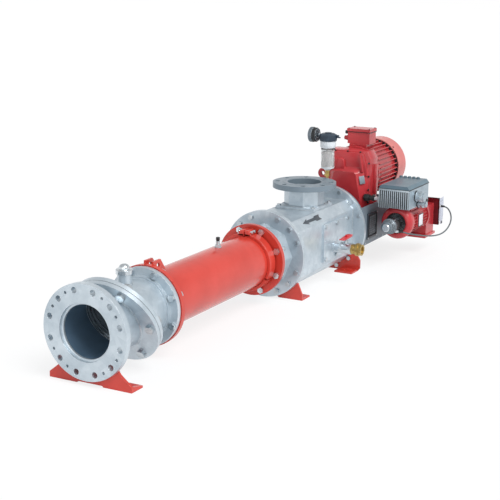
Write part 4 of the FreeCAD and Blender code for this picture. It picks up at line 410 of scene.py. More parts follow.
def hang(shape, name, look, slot, *stands_for, body="pump"):
    """Makes a piece of a finished shape, gives it its finish and hangs it on its body."""
    bmesh.ops.remove_doubles(shape, verts=shape.verts, dist=mm(0.002))
    bmesh.ops.recalc_face_normals(shape, faces=shape.faces)
    mesh = bpy.data.meshes.new(name)
    shape.to_mesh(mesh)
    shape.free()
    mesh.shade_smooth()
    mesh.set_sharp_from_angle(angle=math.radians(SHARP_DEGREES))
    mesh.materials.append(finish(look))
    made = put(name, mesh)
    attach(made, body)
    if stands_for:
        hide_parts(*stands_for)


def build_finishes():
    """Every finish of the pump, by the name that the pieces use."""
    colours = bpy.context.scene.pump_colours
    red, drive, zinc = colours.pump_red, colours.drive_red, colours.zinc_light
    return {
        "pump enamel": sprayed_enamel("sprayed_enamel_pump_red", red, "#BD362A", "#E48A7E", 0.24),
        "drive enamel": sprayed_enamel("sprayed_enamel_drive_red", drive, "#AA2A31", "#E68A84", 0.25),
        "dark drive enamel": sprayed_enamel("sprayed_enamel_maroon", "#6E141C", "#5A1018", "#A04A4E", 0.34),
        # the motor's red painted paler for the fan cover: the light reflected on the cover is painted into
        # its colour
        "pale enamel": sprayed_enamel("sprayed_enamel_red_painted_sheen", "#D0706A", "#C05C58", "#F2BAB2", 0.3),
        # dark blue-grey enamel for the inside of the bore: painted shade
        "bore_shade": sprayed_enamel("bore_shade_enamel", "#5E768C", "#50687C", "#8296A6", 0.5),
        "dark casting": zinc_coating("anodised_grey_casting", "#848E96", "#6A747C", 0.36, 6, 0.7),
        "galvanised": zinc_coating("hot_dip_galvanised_steel", zinc, "#AFBCC5", 0.33, 22, 0.62),
        "inlet casting": zinc_coating(
            "galvanised_neck_painted_flange", zinc, "#B4C1CA", 0.36, 22, 0.62, 229.5),
        "weld bead": zinc_coating("galvanised_weld_bead", "#D4DCE2", "#9AA6AE", 0.4, 7),
        "bright zinc": machined_metal("bright_zinc_plate", "#E6EBEE", "#B4BDC4", 0.22, 1.0),
        "blackened steel": machined_metal("blackened_steel_screws", "#4A4E52", "#303336", 0.4, 1.0),
        "light aluminium": zinc_coating("sand_cast_aluminium_fins", "#C2CDD4", "#A4B0B8", 0.42, 6, 0.6),
        "dark enamel": sprayed_enamel("stencilled_dark_enamel", "#454C53", "#3A4047", "#6A7178", 0.5),
        "bare plate": zinc_coating("etched_aluminium_plate", "#8F9AA2", "#7E8A93", 0.45, 4, 0.6),
        "white plate": sprayed_enamel("printed_white_plate", "#E9E6EA", "#DEDBE0", "#F4F2F4", 0.4),
        "pale plate": zinc_coating("bright_rolled_zinc_sheet", "#CDD0DC", "#B6BAC8", 0.4, 5, 0.5),
        "milky collar": moulded("moulded_milky_acrylic", "#D9DEE2", "#C4CBD0", 0.3, 3.0, 0.05),
        "seal fluid": moulded("clear_oil_in_vessel", "#E4DDDB", "#D8CCCB", 0.15, 9.0, 0.02),
        "zinc plate": machined_metal("zinc_plated_bolts", "#D6DCE0", "#A7B0B6", 0.3, 1.0),
        "bare steel": machined_metal("turned_steel", "#B9BEC2", "#8C9297", 0.3, 1.2),
        "grey enamel": sprayed_enamel("sprayed_enamel_blue_grey", "#76848E", "#66747F", "#A9B6BE", 0.38),
        "rubber": moulded("moulded_nitrile_rubber", "#26282B", "#3C3F43", 0.6, 1.5, 0.2),
        "brass": machined_metal("turned_brass", "#C9B070", "#9C8450", 0.3, 1.0),
        "lever plastic": moulded("dipped_vinyl_lever", "#C2242C", "#D2585A", 0.35, 2.0, 0.1),
        "window panel": sprayed_enamel("sprayed_enamel_dark_panel", "#3C4650", "#333C46", "#6E7A84", 0.4),
        "vessel": blown_acrylic("blown_acrylic_vessel", "#E9EEF0"),
        "cap plastic": moulded("moulded_polyamide_navy", "#2C3A48", "#47586A", 0.45, 2.0, 0.12),
        "aluminium": zinc_coating("die_cast_aluminium", "#AEBBC3", "#93A2AC", 0.4, 9, 0.7),
        "lid enamel": sprayed_enamel("powder_coated_slate_lid", "#5E7480", "#546974", "#90A4AE", 0.45),
        "copper": machined_metal("varnished_copper_wire", "#B06A3C", "#8A4A28", 0.35, 1.0),
        "black plastic": moulded("moulded_polyamide_black", "#1E2022", "#34373A", 0.5, 2.0, 0.12),
        "cable jacket": moulded("extruded_cable_jacket", "#555C60", "#6A7276", 0.5, 1.5, 0.08),
    }


SLOT_FINISH = {
    "red_paint": "pump enamel",
    "galvanised": "galvanised",
    "zinc": "zinc plate",
    "steel": "bare steel",
    "grey_paint": "grey enamel",
    "rubber": "rubber",
    "brass": "brass",
    "lever_red": "lever plastic",
    "dark_panel": "window panel",
    "clear": "vessel",
    "dark_blue": "cap plastic",
    "aluminium": "aluminium",
    "slate": "lid enamel",
    "copper": "copper",
    "black_plastic": "black plastic",
    "cable": "cable jacket",
}
OWN_FINISH = {
    "motor_frame": "drive enamel",
    # paler red: painted sheen of the light on the fan cover
    "fan_cover": "pale enamel",
    "terminal_box": "drive enamel",
    "adjusting_gearbox": "drive enamel",
    "valve_body": "zinc plate",
    "stator_bolts": "bright zinc",
    "inlet_neck": "inlet casting",
}
CABLE_ROUTE = [
    (2009, -325, -8), (2009, -346, -8), (2024, -366, -16), (2058, -383, -25), (2112, -394, -38),
    (2185, -401, -55), (2262, -406, -69), (2340, -410, -78), (2408, -413, -76), (2462, -414, -62),
    (2494, -414, -40), (2504, -411, -13), (2500, -402, 14), (2492, -386, 33), (2492, -361, 33),
]


def finish(name):
    """One of the pump's finishes."""
    return bpy.data.materials[bpy.context.scene["pump_finishes"][name]]


class PumpColours(bpy.types.PropertyGroup):
    """Colours that a user would change."""

    pump_red: bpy.props.StringProperty(
        name="Pump red", description="sRGB hex of the pump's enamel", default="#CC4034")
    drive_red: bpy.props.StringProperty(
        name="Drive red", description="sRGB hex of the drive's enamel", default="#C0383D")
    zinc_light: bpy.props.StringProperty(
        name="Zinc", description="sRGB hex of the lighter zinc crystals", default="#CED8DF")


class PumpCamera(bpy.types.PropertyGroup):
    """Where the photograph was taken from."""

    place: bpy.props.FloatVectorProperty(
        name="Place", description="Camera position", size=3, unit="LENGTH",
        default=(-2.9703, -2.2359, 1.1775))
    lens: bpy.props.FloatProperty(name="Lens", description="Focal length in millimetres", default=83.43)
    yaw: bpy.props.FloatProperty(
        name="Yaw", description="Angle from +X towards +Y", subtype="ANGLE", default=math.radians(28.48))
    pitch: bpy.props.FloatProperty(
        name="Pitch", description="Angle below the horizon", subtype="ANGLE", default=math.radians(13.60))
    roll: bpy.props.FloatProperty(
        name="Roll", description="Turn about the view axis", subtype="ANGLE", default=math.radians(0.42))


class PUMP_OT_finishes(bpy.types.Operator):
    """Make the finishes and give each CAD node its own."""

    bl_idname = "pump.finishes"
    bl_label = "Finishes"

    def execute(self, context):
        made = build_finishes()
        context.scene["pump_finishes"] = {name: material.name for name, material in made.items()}
        for name, node in NODES.items():
            chosen = OWN_FINISH.get(name, SLOT_FINISH[SLOT_OF[name]])
            node.data.materials.clear()
            node.data.materials.append(made[chosen])
        return {"FINISHED"}


class PUMP_OT_control_cable(bpy.types.Operator):
    """Lay the control cable from the encoder to the switch bracket, with a strain relief at each end."""

    bl_idname = "pump.control_cable"
    bl_label = "Control cable"

    def execute(self, context):
        line = bpy.data.curves.new("control_cable_line", "CURVE")
        line.dimensions = "3D"
        spline = line.splines.new("NURBS")
        spline.points.add(len(CABLE_ROUTE) - 1)
        for point, knot in zip(spline.points, CABLE_ROUTE):
            point.co = (*point_mm(*knot), 1)
        spline.order_u = 3
        spline.use_endpoint_u = True
        spline.resolution_u = 12
        line.bevel_depth = mm(3.5)
        line.bevel_resolution = 4
        line.use_fill_caps = True
        cable = put("control_cable_lead", line)
        line.materials.append(finish("cable jacket"))
        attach(cable, "pump")
        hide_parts("control_cable")
        wide, thin, ring, ring_pitch = 5.8, 4.0, 0.8, 4
        for name, (x, y, z), reach in (
            ("encoder_strain_relief", CABLE_ROUTE[0], 22), ("switch_strain_relief", CABLE_ROUTE[-1], 18),
        ):
            shape = bmesh.new()
            drum(shape, (x, y, z), (x, y - reach, z), wide, 0.6, sides=24, tip=thin)
            for i in range(4):
                hoop(shape, (x, y - 3 - i * ring_pitch, z), wide - 0.4 * (i + 1), ring, "Y", 24, 6)
            hang(shape, name, "black plastic", "black_plastic")
        return {"FINISHED"}


class PUMP_OT_pipe_fittings(bpy.types.Operator):
    """Discharge lip, a dark sleeve of painted shade inside the bore, vent plug, joint rings, weld beads, foot
    bar and the probe's plug.
    """

    bl_idname = "pump.pipe_fittings"
    bl_label = "Pipe fittings"

    def execute(self, context):
        pipe, bore, lip_outer, lip_inner = 109.55, 103.25, 99, 95.3
        joint, tilt, vent_x = 183, 27, 238
        middle = (0, 0, 0)
        lip = bmesh.new()
        profile = [(10, bore), (10, lip_outer), (12, lip_inner), (20, lip_inner), (22, lip_outer), (22, bore)]
        turned(lip, profile, middle, steps=96)
        hang(lip, "discharge_lip_ring", "galvanised", "galvanised")
        # a dark blue-grey sleeve inside the bore paints the shade in its recess
        bore_shade = bmesh.new()
        plain_ring(bore_shade, 23, 160, bore - 0.95, bore - 0.15, middle, steps=96)
        lean([vert for vert in bore_shade.verts if vert.co.x > mm(100)], tilt)
        hang(bore_shade, "bore_shade_sleeve", "bore_shade", "galvanised")
        plug = bmesh.new()
        dome = [(137, 0), (137, 24), (149, 24), (150.5, 30), (165, 30), (167, 28), (168, 19.5), (174, 19),
                (180, 16), (184, 10), (186, 0)]
        turned(plug, dome, (vent_x, 0, 0), "Z", 64)
        hang(plug, "vent_plug_dome", "bright zinc", "zinc", "vent_plug")
        rings = bmesh.new()
        for offset, proud in ((-17, 2.2), (-2, 1.6), (3, 1.6), (18, 2.2)):
            hoop(rings, (joint + offset, 0, 0), bore - proud / 2, proud, steps=96, tilt=tilt)
        hang(rings, "bore_joint_rings", "bright zinc", "galvanised")
        beads = bmesh.new()
        for station, slant in ((25.5, 0), (joint - 18, tilt), (joint + 18, tilt), (348.5, 0)):
            hoop(beads, (station, 0, 0), pipe, 4.2, steps=96, tilt=slant)
        hoop(beads, (vent_x, 0, 113.5), 26, 3.6, axis="Z", steps=48)
        hang(beads, "pipe_weld_beads", "weld bead", "galvanised")
        foot = bmesh.new()
        push(foot, [(-62, -186), (62, -186), (50, -171), (-50, -171)], "X", 24.5, 32, 1.2)
        hang(foot, "front_foot_bar", "pump enamel", "red_paint")
        probe = bmesh.new()
        stack(probe, "Z", (885, 0), (135.7, 139, 6.5, 0.8, 32), (139, 151, 8, 1.6, 32))
        hang(probe, "probe_plug", "black plastic", "black_plastic")
        return {"FINISHED"}


class PUMP_OT_clamp_band(bpy.types.Operator):
    """Three-part clamp on the stator tube, with a bolted ear on top."""

    bl_idname = "pump.clamp_band"
    bl_label = "Clamp band"

    def execute(self, context):
        start, end, inner, outer, chamfer = 1100, 1146, 110.6, 123, 2
        band = bmesh.new()
        section = [(start, inner), (start, outer - chamfer), (start + chamfer, outer), (end - chamfer, outer),
                   (end, outer - chamfer), (end, inner)]
        for first in (2, 122, 242):
            turned(band, section, (0, 0, 0), steps=28, start=-first, sweep=-116)
        for side in (-1, 1):
            ear = [(side * 2.5, 112), (side * 32, 112), (side * 19, 137), (side * 2.5, 137)]
            push(band, ear, "X", start, end, 1.5)
        hang(band, "stator_clamp_band", "pump enamel", "red_paint", "clamp_ring")
        bolt = bmesh.new()
        for x in (start + 12, end - 12):
            stack(bolt, "Y", (x, 129), (-31, 31, 4, 0.5, 16), (-33, -27, 7.5, 0.6, 6), (27, 33, 7.5, 0.6, 6))
        hang(bolt, "clamp_band_bolts", "bright zinc", "zinc")
        return {"FINISHED"}


class PUMP_OT_housing_fittings(bpy.types.Operator):
    """Flow arrow, weld beads of the suction housing and of the inlet, and the inlet's raised face."""

    bl_idname = "pump.housing_fittings"
    bl_label = "Housing fittings"

    def execute(self, context):
        half, high, bevel_y, bevel_z, inlet_x, saddle = 142, 141.5, 105, 103, 1660, 95
        slope = math.atan2(high - bevel_z, half - bevel_y)
        facet = point_mm(0, -(half + bevel_y) / 2, (high + bevel_z) / 2)
        self.make_arrow(Matrix.Translation(facet) @ Matrix.Rotation(slope, 4, "X"))
        beads = bmesh.new()
        octagon = [(-bevel_y, high), (bevel_y, high), (half, bevel_z), (half, -bevel_z), (bevel_y, -high),
                   (-bevel_y, -high), (-half, -bevel_z), (-half, bevel_z)]
        for x in (1304, 1886):
            run_round(beads, [(x, y, z) for y, z in octagon], 3.4)
        front, rear, level = inlet_x - saddle, inlet_x + saddle, high + 1
        for side in (-saddle, saddle):
            drum(beads, (front, side, level), (rear, side, level), 3, sides=8)
        for x in (front, rear):
            drum(beads, (x, -saddle, level), (x, saddle, level), 3, sides=8)
        reach = 90 / math.cos(math.pi / 8)
        turns = [math.pi * (i + 0.5) / 4 for i in range(8)]
        for z in (153, 228):
            run_round(beads, [(inlet_x + reach * math.cos(t), reach * math.sin(t), z) for t in turns], 2.2)
        hang(beads, "housing_weld_beads", "weld bead", "galvanised")
        ring = bmesh.new()
        profile = [(252, 77.2), (253.9, 79), (254.6, 84), (254.6, 98), (253.2, 99), (252, 99)]
        turned(ring, profile, (inlet_x, 0, 0), "Z", 96)
        hang(ring, "inlet_raised_face", "grey enamel", "grey_paint")
        return {"FINISHED"}

    def make_arrow(self, place):
        """A plain flow arrow, laid flat on the sloping side and pointing at the discharge."""
        half = [(1395, 0), (1448, 15), (1440, 7), (1510, 7), (1520, 13), (1568, 13), (1556, 0)]
        shape = bmesh.new()
        lower = [(x, -v) for x, v in reversed(half[1:-1])]
        push(shape, half + lower, "Z", 0, 1.1, 0.25)
        bmesh.ops.transform(shape, matrix=place, verts=shape.verts)
        hang(shape, "flow_arrow", "dark enamel", "dark_panel")


class PUMP_OT_drain_valve(bpy.types.Operator):
    """Dished wing handle of the drain valve and the nut that holds it."""

    bl_idname = "pump.drain_valve"
    bl_label = "Drain valve"

    def execute(self, context):
        wing = bmesh.new()
        under = [(1618, 14), (1638, 12.2), (1690, 12.2), (1708, 15), (1718, 20)]
        over = [(1718, 23.5), (1702, 25.5), (1672, 22.5), (1640, 19), (1618, 17.5)]
        push(wing, under + over, "Y", -219, -195, 1.6)
        hang(wing, "valve_wing_handle", "lever plastic", "lever_red", "valve_lever", body="drain_valve")
        nut = bmesh.new()
        stack(nut, "Z", (1673, -207), (20, 27, 8, 0.8, 6), (27, 30, 4.5, 0.8, 16))
        hang(nut, "valve_wing_nut", "lever plastic", "lever_red", body="drain_valve")
        return {"FINISHED"}


class PUMP_OT_gear_unit(bpy.types.Operator):
    """The cast gear unit: sloped nose, panel with a lobe and a rib, case, lifting eye, screws and plate."""

    bl_idname = "pump.gear_unit"
    bl_label = "Gear unit"

    def execute(self, context):
        nose, flange = 2101, 2139.5
        rear = mirrored([(118, 60), (118, 296), (98, 333)]) + [(-88, -104), (88, -104)]
        shoulder = mirrored([(112, 60), (112, 236), (95, 268)]) + [(-84, -100), (84, -100)]
        front = mirrored([(88, 68), (56, 224), (46, 232)]) + [(-60, -50), (60, -50)]
        panel = mirrored([(106, 214), (101, 268), (86, 325)])
        lobe = [(86, 232), (76, 284), (66, 297), (22, 297), (10, 288), (6, 240)]
        cover = bmesh.new()
        join_outlines(cover, "X", nose, front, flange, shoulder, 3.0)
        for outline, low, high, rim in (
            (rear, 2139, 2151, 2.5), (panel, 2126, 2141, 3.0), (lobe, 2113, 2128, 4.0),
            ([(-66, 318), (-78, 318), (-92, 236), (-79, 236)], 2112, 2128, 3.5),
            ([(60, 244), (52, 292), (44, 292), (50, 244)], 2109.5, 2114, 1.5),
        ):
            push(cover, outline, "X", low, high, rim)
        stack(cover, "X", (0, 0), (2098, 2110, 53, 2.0, 64))
        hang(cover, "gear_unit_cover", "drive enamel", "red_paint", "gearbox_cover")
        case = bmesh.new()
        push(case, rear, "X", 2151.6, 2231, 2.5)
        eye = [(2152, 10), (2152, 24), (2154, 26), (2166, 26), (2168, 24), (2168, 10)]
        turned(case, eye, (0, 139, 207), steps=40)
        push(case, [(112, 176), (128, 183), (128, 231), (112, 240)], "X", 2152.5, 2167.5, 1.5)
        for side in (-1, 1):
            slab(case, (2176, side * 124 - 8, 120), (2206, side * 124 + 8, 268), 3.0)
            slab(case, (2164, side * 118 - 9, 60), (2231, side * 118 + 9, 96), 3.0)
        hang(case, "gear_unit_case", "drive enamel", "red_paint", "gearbox_housing")
        screws = bmesh.new()
        beside = [(side * 112.5, z) for side in (-1, 1) for z in (88, 150, 214, 278)]
        for across in beside + [(-66, 329), (0, 329), (66, 329)]:
            stack(screws, "X", across, (flange - 1, flange - 7, 4.2, 0.7, 12))
        hang(screws, "gear_cover_screws", "blackened steel", "steel")
        plate = bmesh.new()
        slab(plate, (-19, -13, 0), (19, 13, 1.2), 0.4)
        self.lay_on_facet(plate, (nose, -56, 224), (flange, -112, 236), (nose, -88, 68), 0.42, 0.2)
        hang(plate, "gear_unit_plate", "bare plate", "aluminium")
        drain = bmesh.new()
        drum(drain, (2112, -60, 12), (2104, -66, 10), 9, 1.0, sides=6)
        hang(drain, "gear_oil_plug", "bright zinc", "zinc")
        return {"FINISHED"}

    def lay_on_facet(self, shape, origin, second, third, share_second, share_third):
        """Lays a plate, drawn flat at the origin, on the facet through three corners in millimetres.

        Its middle lies these shares of the way from the first corner to the second and to the third.
        """
        a, b, c = (point_mm(*place) for place in (origin, second, third))
        up = (a - c).normalized()
        out = up.cross(b - a).normalized()
        if out.x > 0:
            out = -out
        along = up.cross(out).normalized()
        middle = a + (b - a) * share_second + (c - a) * share_third
        place = Matrix.Translation(middle) @ Matrix((up, along, out)).transposed().to_4x4()
        bmesh.ops.transform(shape, matrix=place, verts=shape.verts)


class PUMP_OT_motor_fittings(bpy.types.Operator):
    """Screws of the fan cover and of the terminal box, the cover's rolled edge, their dark seals and a black
    ring of painted shade before the cover.
    """

    bl_idname = "pump.motor_fittings"
    bl_label = "Motor fittings"

    def execute(self, context):
        level, cover_radius = 215, 134
        middle = (0, 0, level)
        screws = bmesh.new()
        for turn in spread(4, middle, start=45):
            foot, top = (swing(turn, 2482, 0, level + cover_radius + lift) for lift in (0, 4.5))
            drum(screws, foot, top, 4.5, 0.8, sides=12)
        for x in (2266, 2336):
            for y in (-54, 54):
                stack(screws, "Z", (x, y), (421.5, 424.5, 4, 0.8, 12))
        hang(screws, "motor_screws", "blackened steel", "steel")
        rim = bmesh.new()
        edge = [(2464.5, 132), (2464.5, 136.4), (2470, 137.2), (2473, 136.4), (2473, cover_radius)]
        turned(rim, edge, middle, steps=96)
        # the rolled edge takes the same paler red, a painted sheen
        hang(rim, "fan_cover_rolled_edge", "pale enamel", "red_paint")
        dark = bmesh.new()
        # black ring in the gap between the fins and the fan cover: painted shade
        plain_ring(dark, 2461, 2465, 118, cover_radius - 1, middle, steps=96)
        slab(dark, (2257.2, -61.6, 404.5), (2344.6, 61.6, 407), 0.4)
        stack(dark, "Y", (2285, 400), (60, 79, 9.5, 1.0, 6))
        hang(dark, "motor_seals_and_gap_shade", "black plastic", "black_plastic")
        return {"FINISHED"}


class PUMP_OT_seal_reservoir(bpy.types.Operator):
    """Seal fluid, collar, grooves and seat of the vessel, the ribs of its cap, and the gauge."""

    bl_idname = "pump.seal_reservoir"
    bl_label = "Seal reservoir"

    def execute(self, context):
        x, y = 1929, 11
        vessel = (x, y, 0)
        fluid = bmesh.new()
        stack(fluid, "Z", (x, y), (278, 356, 27, 1.5, 48))
        hang(fluid, "seal_fluid", "seal fluid", "clear")
        collar = bmesh.new()
        profile = [(372, 31.7), (373, 35), (376, 37), (398, 37), (403, 36), (405, 31.7)]
        turned(collar, profile, vessel, "Z", 64)
        hang(collar, "vessel_collar", "milky collar", "clear")
        grooves = bmesh.new()
        for z in (366, 369):
            hoop(grooves, (x, y, z), 32.2, 1.0, axis="Z")
        hang(grooves, "vessel_grooves", "black plastic", "black_plastic")
        seat = bmesh.new()
        turned(seat, [(266, 0), (266, 13), (272.6, 20), (276, 30.5), (284, 31.9), (284, 31.6)], vessel, "Z")
        hang(seat, "vessel_seat", "milky collar", "clear")
        ribs = bmesh.new()
        for turn in spread(30, vessel, "Z"):
            slab(ribs, (x + 39.2, y - 1.6, 409), (x + 41, y + 1.6, 430), 0.5, turn)
        stack(ribs, "Y", (x, 423), (y - 40, y - 62, 3.2, 0.6, 16))
        hang(ribs, "reservoir_cap_ribs", "cap plastic", "dark_blue")
        self.make_gauge(x, 428)
        return {"FINISHED"}

    def make_gauge(self, x, level):
        """The gauge's drum, its bezel and stem, and the ribs on its back."""
        middle, front = (x, 0, level), 84
        back = bmesh.new()
        turned(back, [(66, 0), (66, 30), (70, 33.5), (front, 33.5), (front, 0)], middle, "Y", 64)
        hang(back, "gauge_back", "black plastic", "black_plastic", "reservoir_gauge")
        rim = bmesh.new()
        bezel = [(front, 0), (102, 0), (102, 30.5), (103, 32), (100, 35.4), (88, 35.8), (front, 35.4),
                 (front, 33.6)]
        turned(rim, bezel, middle, "Y", 64)
        stack(rim, "Y", (x, level), (42, 67, 7, 0.8, 32), (55, 63, 11, 0.8, 6))
        hang(rim, "gauge_rim", "dark casting", "zinc")
        ribs = bmesh.new()
        for turn in spread(10, middle, "Y"):
            slab(ribs, (x + 13, 63.5, level - 1.2), (x + 30, 67, level + 1.2), 0.4, turn)
        for radius in (13, 29):
            hoop(ribs, (x, 66, level), radius, 1.6, axis="Y", steps=48)
        hang(ribs, "gauge_back_ribs", "dark casting", "black_plastic")


class PUMP_OT_adjusting_motor(bpy.types.Operator):
    """The small motor: rolled fan cover with a wire guard, finned frame and plate, stepped encoder."""

    bl_idname = "pump.adjusting_motor"
    bl_label = "Adjusting motor"

    def execute(self, context):
        y, z = -278, 12
        middle = (0, y, z)
        cover = bmesh.new()
        outside = [(2120, 76.5), (2120, 78.5), (2106, 78.5), (2097, 76), (2090, 71), (2085.5, 64), (2084, 57),
                   (2085, 52), (2088, 49.5)]
        inside = [(2090, 51), (2087.5, 54), (2087, 58), (2089, 64), (2093, 69.5), (2099, 73.8), (2107, 76.3)]
        turned(cover, outside + inside, middle, steps=96)
        hang(cover, "adjusting_fan_ring", "drive enamel", "red_paint", "adjusting_fan_cover")
        guard = bmesh.new()
        for radius in range(22, 52, 5):
            hoop(guard, (2090.5, y, z), radius, 0.9, sides=6)
        for turn in spread(30, middle):
            slab(guard, (2089.6, y - 0.9, z + 18), (2091.2, y + 0.9, z + 51), 0, turn)
        plain_ring(guard, 2089, 2092, 8.5, 20, middle)
        hang(guard, "adjusting_fan_guard", "black plastic", "dark_panel")
        self.make_frame(middle)
        self.make_encoder(middle)
        return {"FINISHED"}

    def make_frame(self, middle):
        """The finned frame with its two boxes, its plate and the nuts of its flange."""
        y, z = middle[1:]
        root, flange, flange_radius, shaft = 62, 2335, 75, 8
        frame = bmesh.new()
        shell = [(2116, 73.5), (2116, 75.5), (2121, 75.8), (2124, 72), (2149, 72), (2155, root),
                 (flange, root), (flange, flange_radius), (2347, flange_radius), (2347, shaft), (2134, shaft),
                 (2134, 69), (2122, 70)]
        turned(frame, shell, middle, steps=72)
        for turn in spread(30, middle):
            slab(frame, (2150, y - 1.5, z + root - 2), (2328, y + 1.5, z + 71), 0, turn)
        slab(frame, (2160, y - 48, 57), (2272, y + 48, 87.6), 2.5)
        slab(frame, (2190, y - 74, z - 34), (2256, y - 50, z + 34), 3.0)
        hang(frame, "adjusting_motor_frame", "drive enamel", "red_paint", "adjusting_motor")
        border = bmesh.new()
        slab(border, (2193, y - 75.2, z - 31), (2253, y - 73.5, z + 31), 0.5)
        hang(border, "adjusting_plate_border", "black plastic", "black_plastic")
        plate = bmesh.new()
        slab(plate, (2199, y - 75.9, z - 27), (2249, y - 74.5, z + 27), 0.4)
        hang(plate, "adjusting_motor_plate", "white plate", "aluminium")
        nuts = bmesh.new()
        for turn in spread(4, middle, start=45):
            slab(nuts, (flange - 4, y - 4, z + 64), (flange + 1, y + 4, z + 72), 1.0, turn)
        hang(nuts, "adjusting_flange_nuts", "bright zinc", "zinc")

    def make_encoder(self, middle):
        """The stepped encoder on its three legs, with its knob, dark bands and gland."""
        y, z = middle[1:]
        knob = bmesh.new()
        turned(knob, [(1974, 0), (1974, 17), (1972, 18.5), (1961, 18.5), (1958, 16), (1958, 0)], middle)
        hang(knob, "encoder_knob", "bright zinc", "zinc")
        case = bmesh.new()
        back, cover, small, centre, large = 2016, 2089, 28, 31, 37
        profile = [(1988, 0), (1988, 8), (back, 8), (back, large), (2003, large), (2001.5, 35.5),
                   (2001.5, 33), (1999, 33), (1997, centre), (1990, centre), (1989, small), (1974.5, small),
                   (1973, 26), (1973, 0)]
        turned(case, profile, middle, steps=64)
        for turn in spread(3, middle, start=30):
            drum(case, swing(turn, back, y, z + 29), swing(turn, cover, y, z + 29), 4.8, 0.5, sides=20)
        hang(case, "encoder_case", "dark casting", "aluminium", "encoder")
        bands = bmesh.new()
        for station, radius in ((1982, small + 0.1), (1993.5, centre + 0.1), (2009.5, large + 0.1)):
            plain_ring(bands, station - 1.2, station + 1.2, radius - 1, radius + 0.5, middle, steps=64)
        turned(bands, [(2020, 9), (2020, 30), (2052, 34), (2052, 9)], middle)
        hang(bands, "encoder_bands", "black plastic", "black_plastic")
        gland = bmesh.new()
        stack(gland, "Y", (2009, -8), (y - 29, y - 42, 7, 0.8, 6), (y - 42, y - 47, 6, 1.2, 24))
        hang(gland, "encoder_gland", "bright zinc", "zinc")


class PUMP_OT_inverter_fittings(bpy.types.Operator):
    """Cooling fins with painted shade between them, lid knobs, caps and seal, plug connectors and the cable
    entry.
    """

    bl_idname = "pump.inverter_fittings"
    bl_label = "Inverter fittings"

    def execute(self, context):
        front, root, fin_top = 2046.5, 2054, 173
        fins = bmesh.new()
        for i in range(15):
            across = -351 + i * 10.3
            slab(fins, (front, across, 91), (root, across + 4, fin_top), 0.4)
        slab(fins, (front, -353.5, fin_top - 1), (root, -202.5, 179.5), 0.8)
        hang(fins, "inverter_front_fins", "light aluminium", "aluminium")
        # a black sheet behind the fins paints the shade in the gaps between them
        fin_gap_shade = bmesh.new()
        slab(fin_gap_shade, (root - 2.5, -352, 90), (root, -204, fin_top), 0.2)
        hang(fin_gap_shade, "inverter_fin_gap_shade", "black plastic", "black_plastic")
        near, far, rear, lid = -340, -216, 2297, 190
        knobs = bmesh.new()
        for x in (2066, rear):
            for across in (near, far):
                stack(knobs, "Z", (x, across), (lid - 6, lid, 5, 1.0, 16))
        hang(knobs, "inverter_lid_knobs", "black plastic", "black_plastic")
        caps = bmesh.new()
        for i in range(5):
            stack(caps, "Z", (rear, far - i * 22), (lid, lid + 15, 8.5, 3.0, 20))
        hang(caps, "inverter_lid_caps", "lid enamel", "slate")
        seal = bmesh.new()
        slab(seal, (2048.5, -355.5, 178), (2314.5, -200.5, 181.5), 0.6)
        hang(seal, "inverter_lid_seal", "black plastic", "black_plastic")
        self.make_connectors()
        self.make_cable_entry()
        return {"FINISHED"}

    def make_connectors(self):
        """The two round plugs on the side, each with its ring, grips and core, and the pipe between them."""
        rings, grips = bmesh.new(), bmesh.new()
        for x, z, radius, core, rim in ((2145, 140, 25, 12, 2.0), (2173, 100, 17, 8, 1.6)):
            plain_ring(rings, 0, -4, radius, radius + 2, (x, -354, z), "Y", 40)
            stack(rings, "Y", (x, z), (-384, -397, core, rim, 24))
            for turn in spread(12, (x, 0, z), "Y"):
                slab(grips, (x - 1.6, -386, z + radius - 3), (x + 1.6, -372, z + radius + 0.8), 0.4, turn)
        stack(rings, "X", (-376, 108), (2186, 2232, 8, 1.5, 20))
        hang(rings, "connector_rings", "black plastic", "black_plastic")
        hang(grips, "connector_grips", "bright zinc", "zinc")

    def make_cable_entry(self):
        """The pale stub between the inverter and the gear unit, and the dark nuts on it."""
        stub = bmesh.new()
        for axis, across, bar in (
            ("Z", (2130, -178), (96, 124, 15, 1.5, 32)), ("Z", (2130, -182), (134, 148, 10, 2.5, 32)),
            ("Y", (2130, 112), (-120, -204, 8, 0.5, 32)),
        ):
            stack(stub, axis, across, bar)
        hang(stub, "cable_entry_stub", "white plate", "zinc")
        nuts = bmesh.new()
        stack(nuts, "Z", (2130, -180), (124, 134, 13, 1.0, 32))
        for near, far, radius in ((-98, -124, 18), (-124, -140, 13), (-140, -150, 16)):
            stack(nuts, "Y", (2126, 114), (near, far, radius, 1.2, 6))
        hang(nuts, "cable_entry_nuts", "black plastic", "black_plastic")


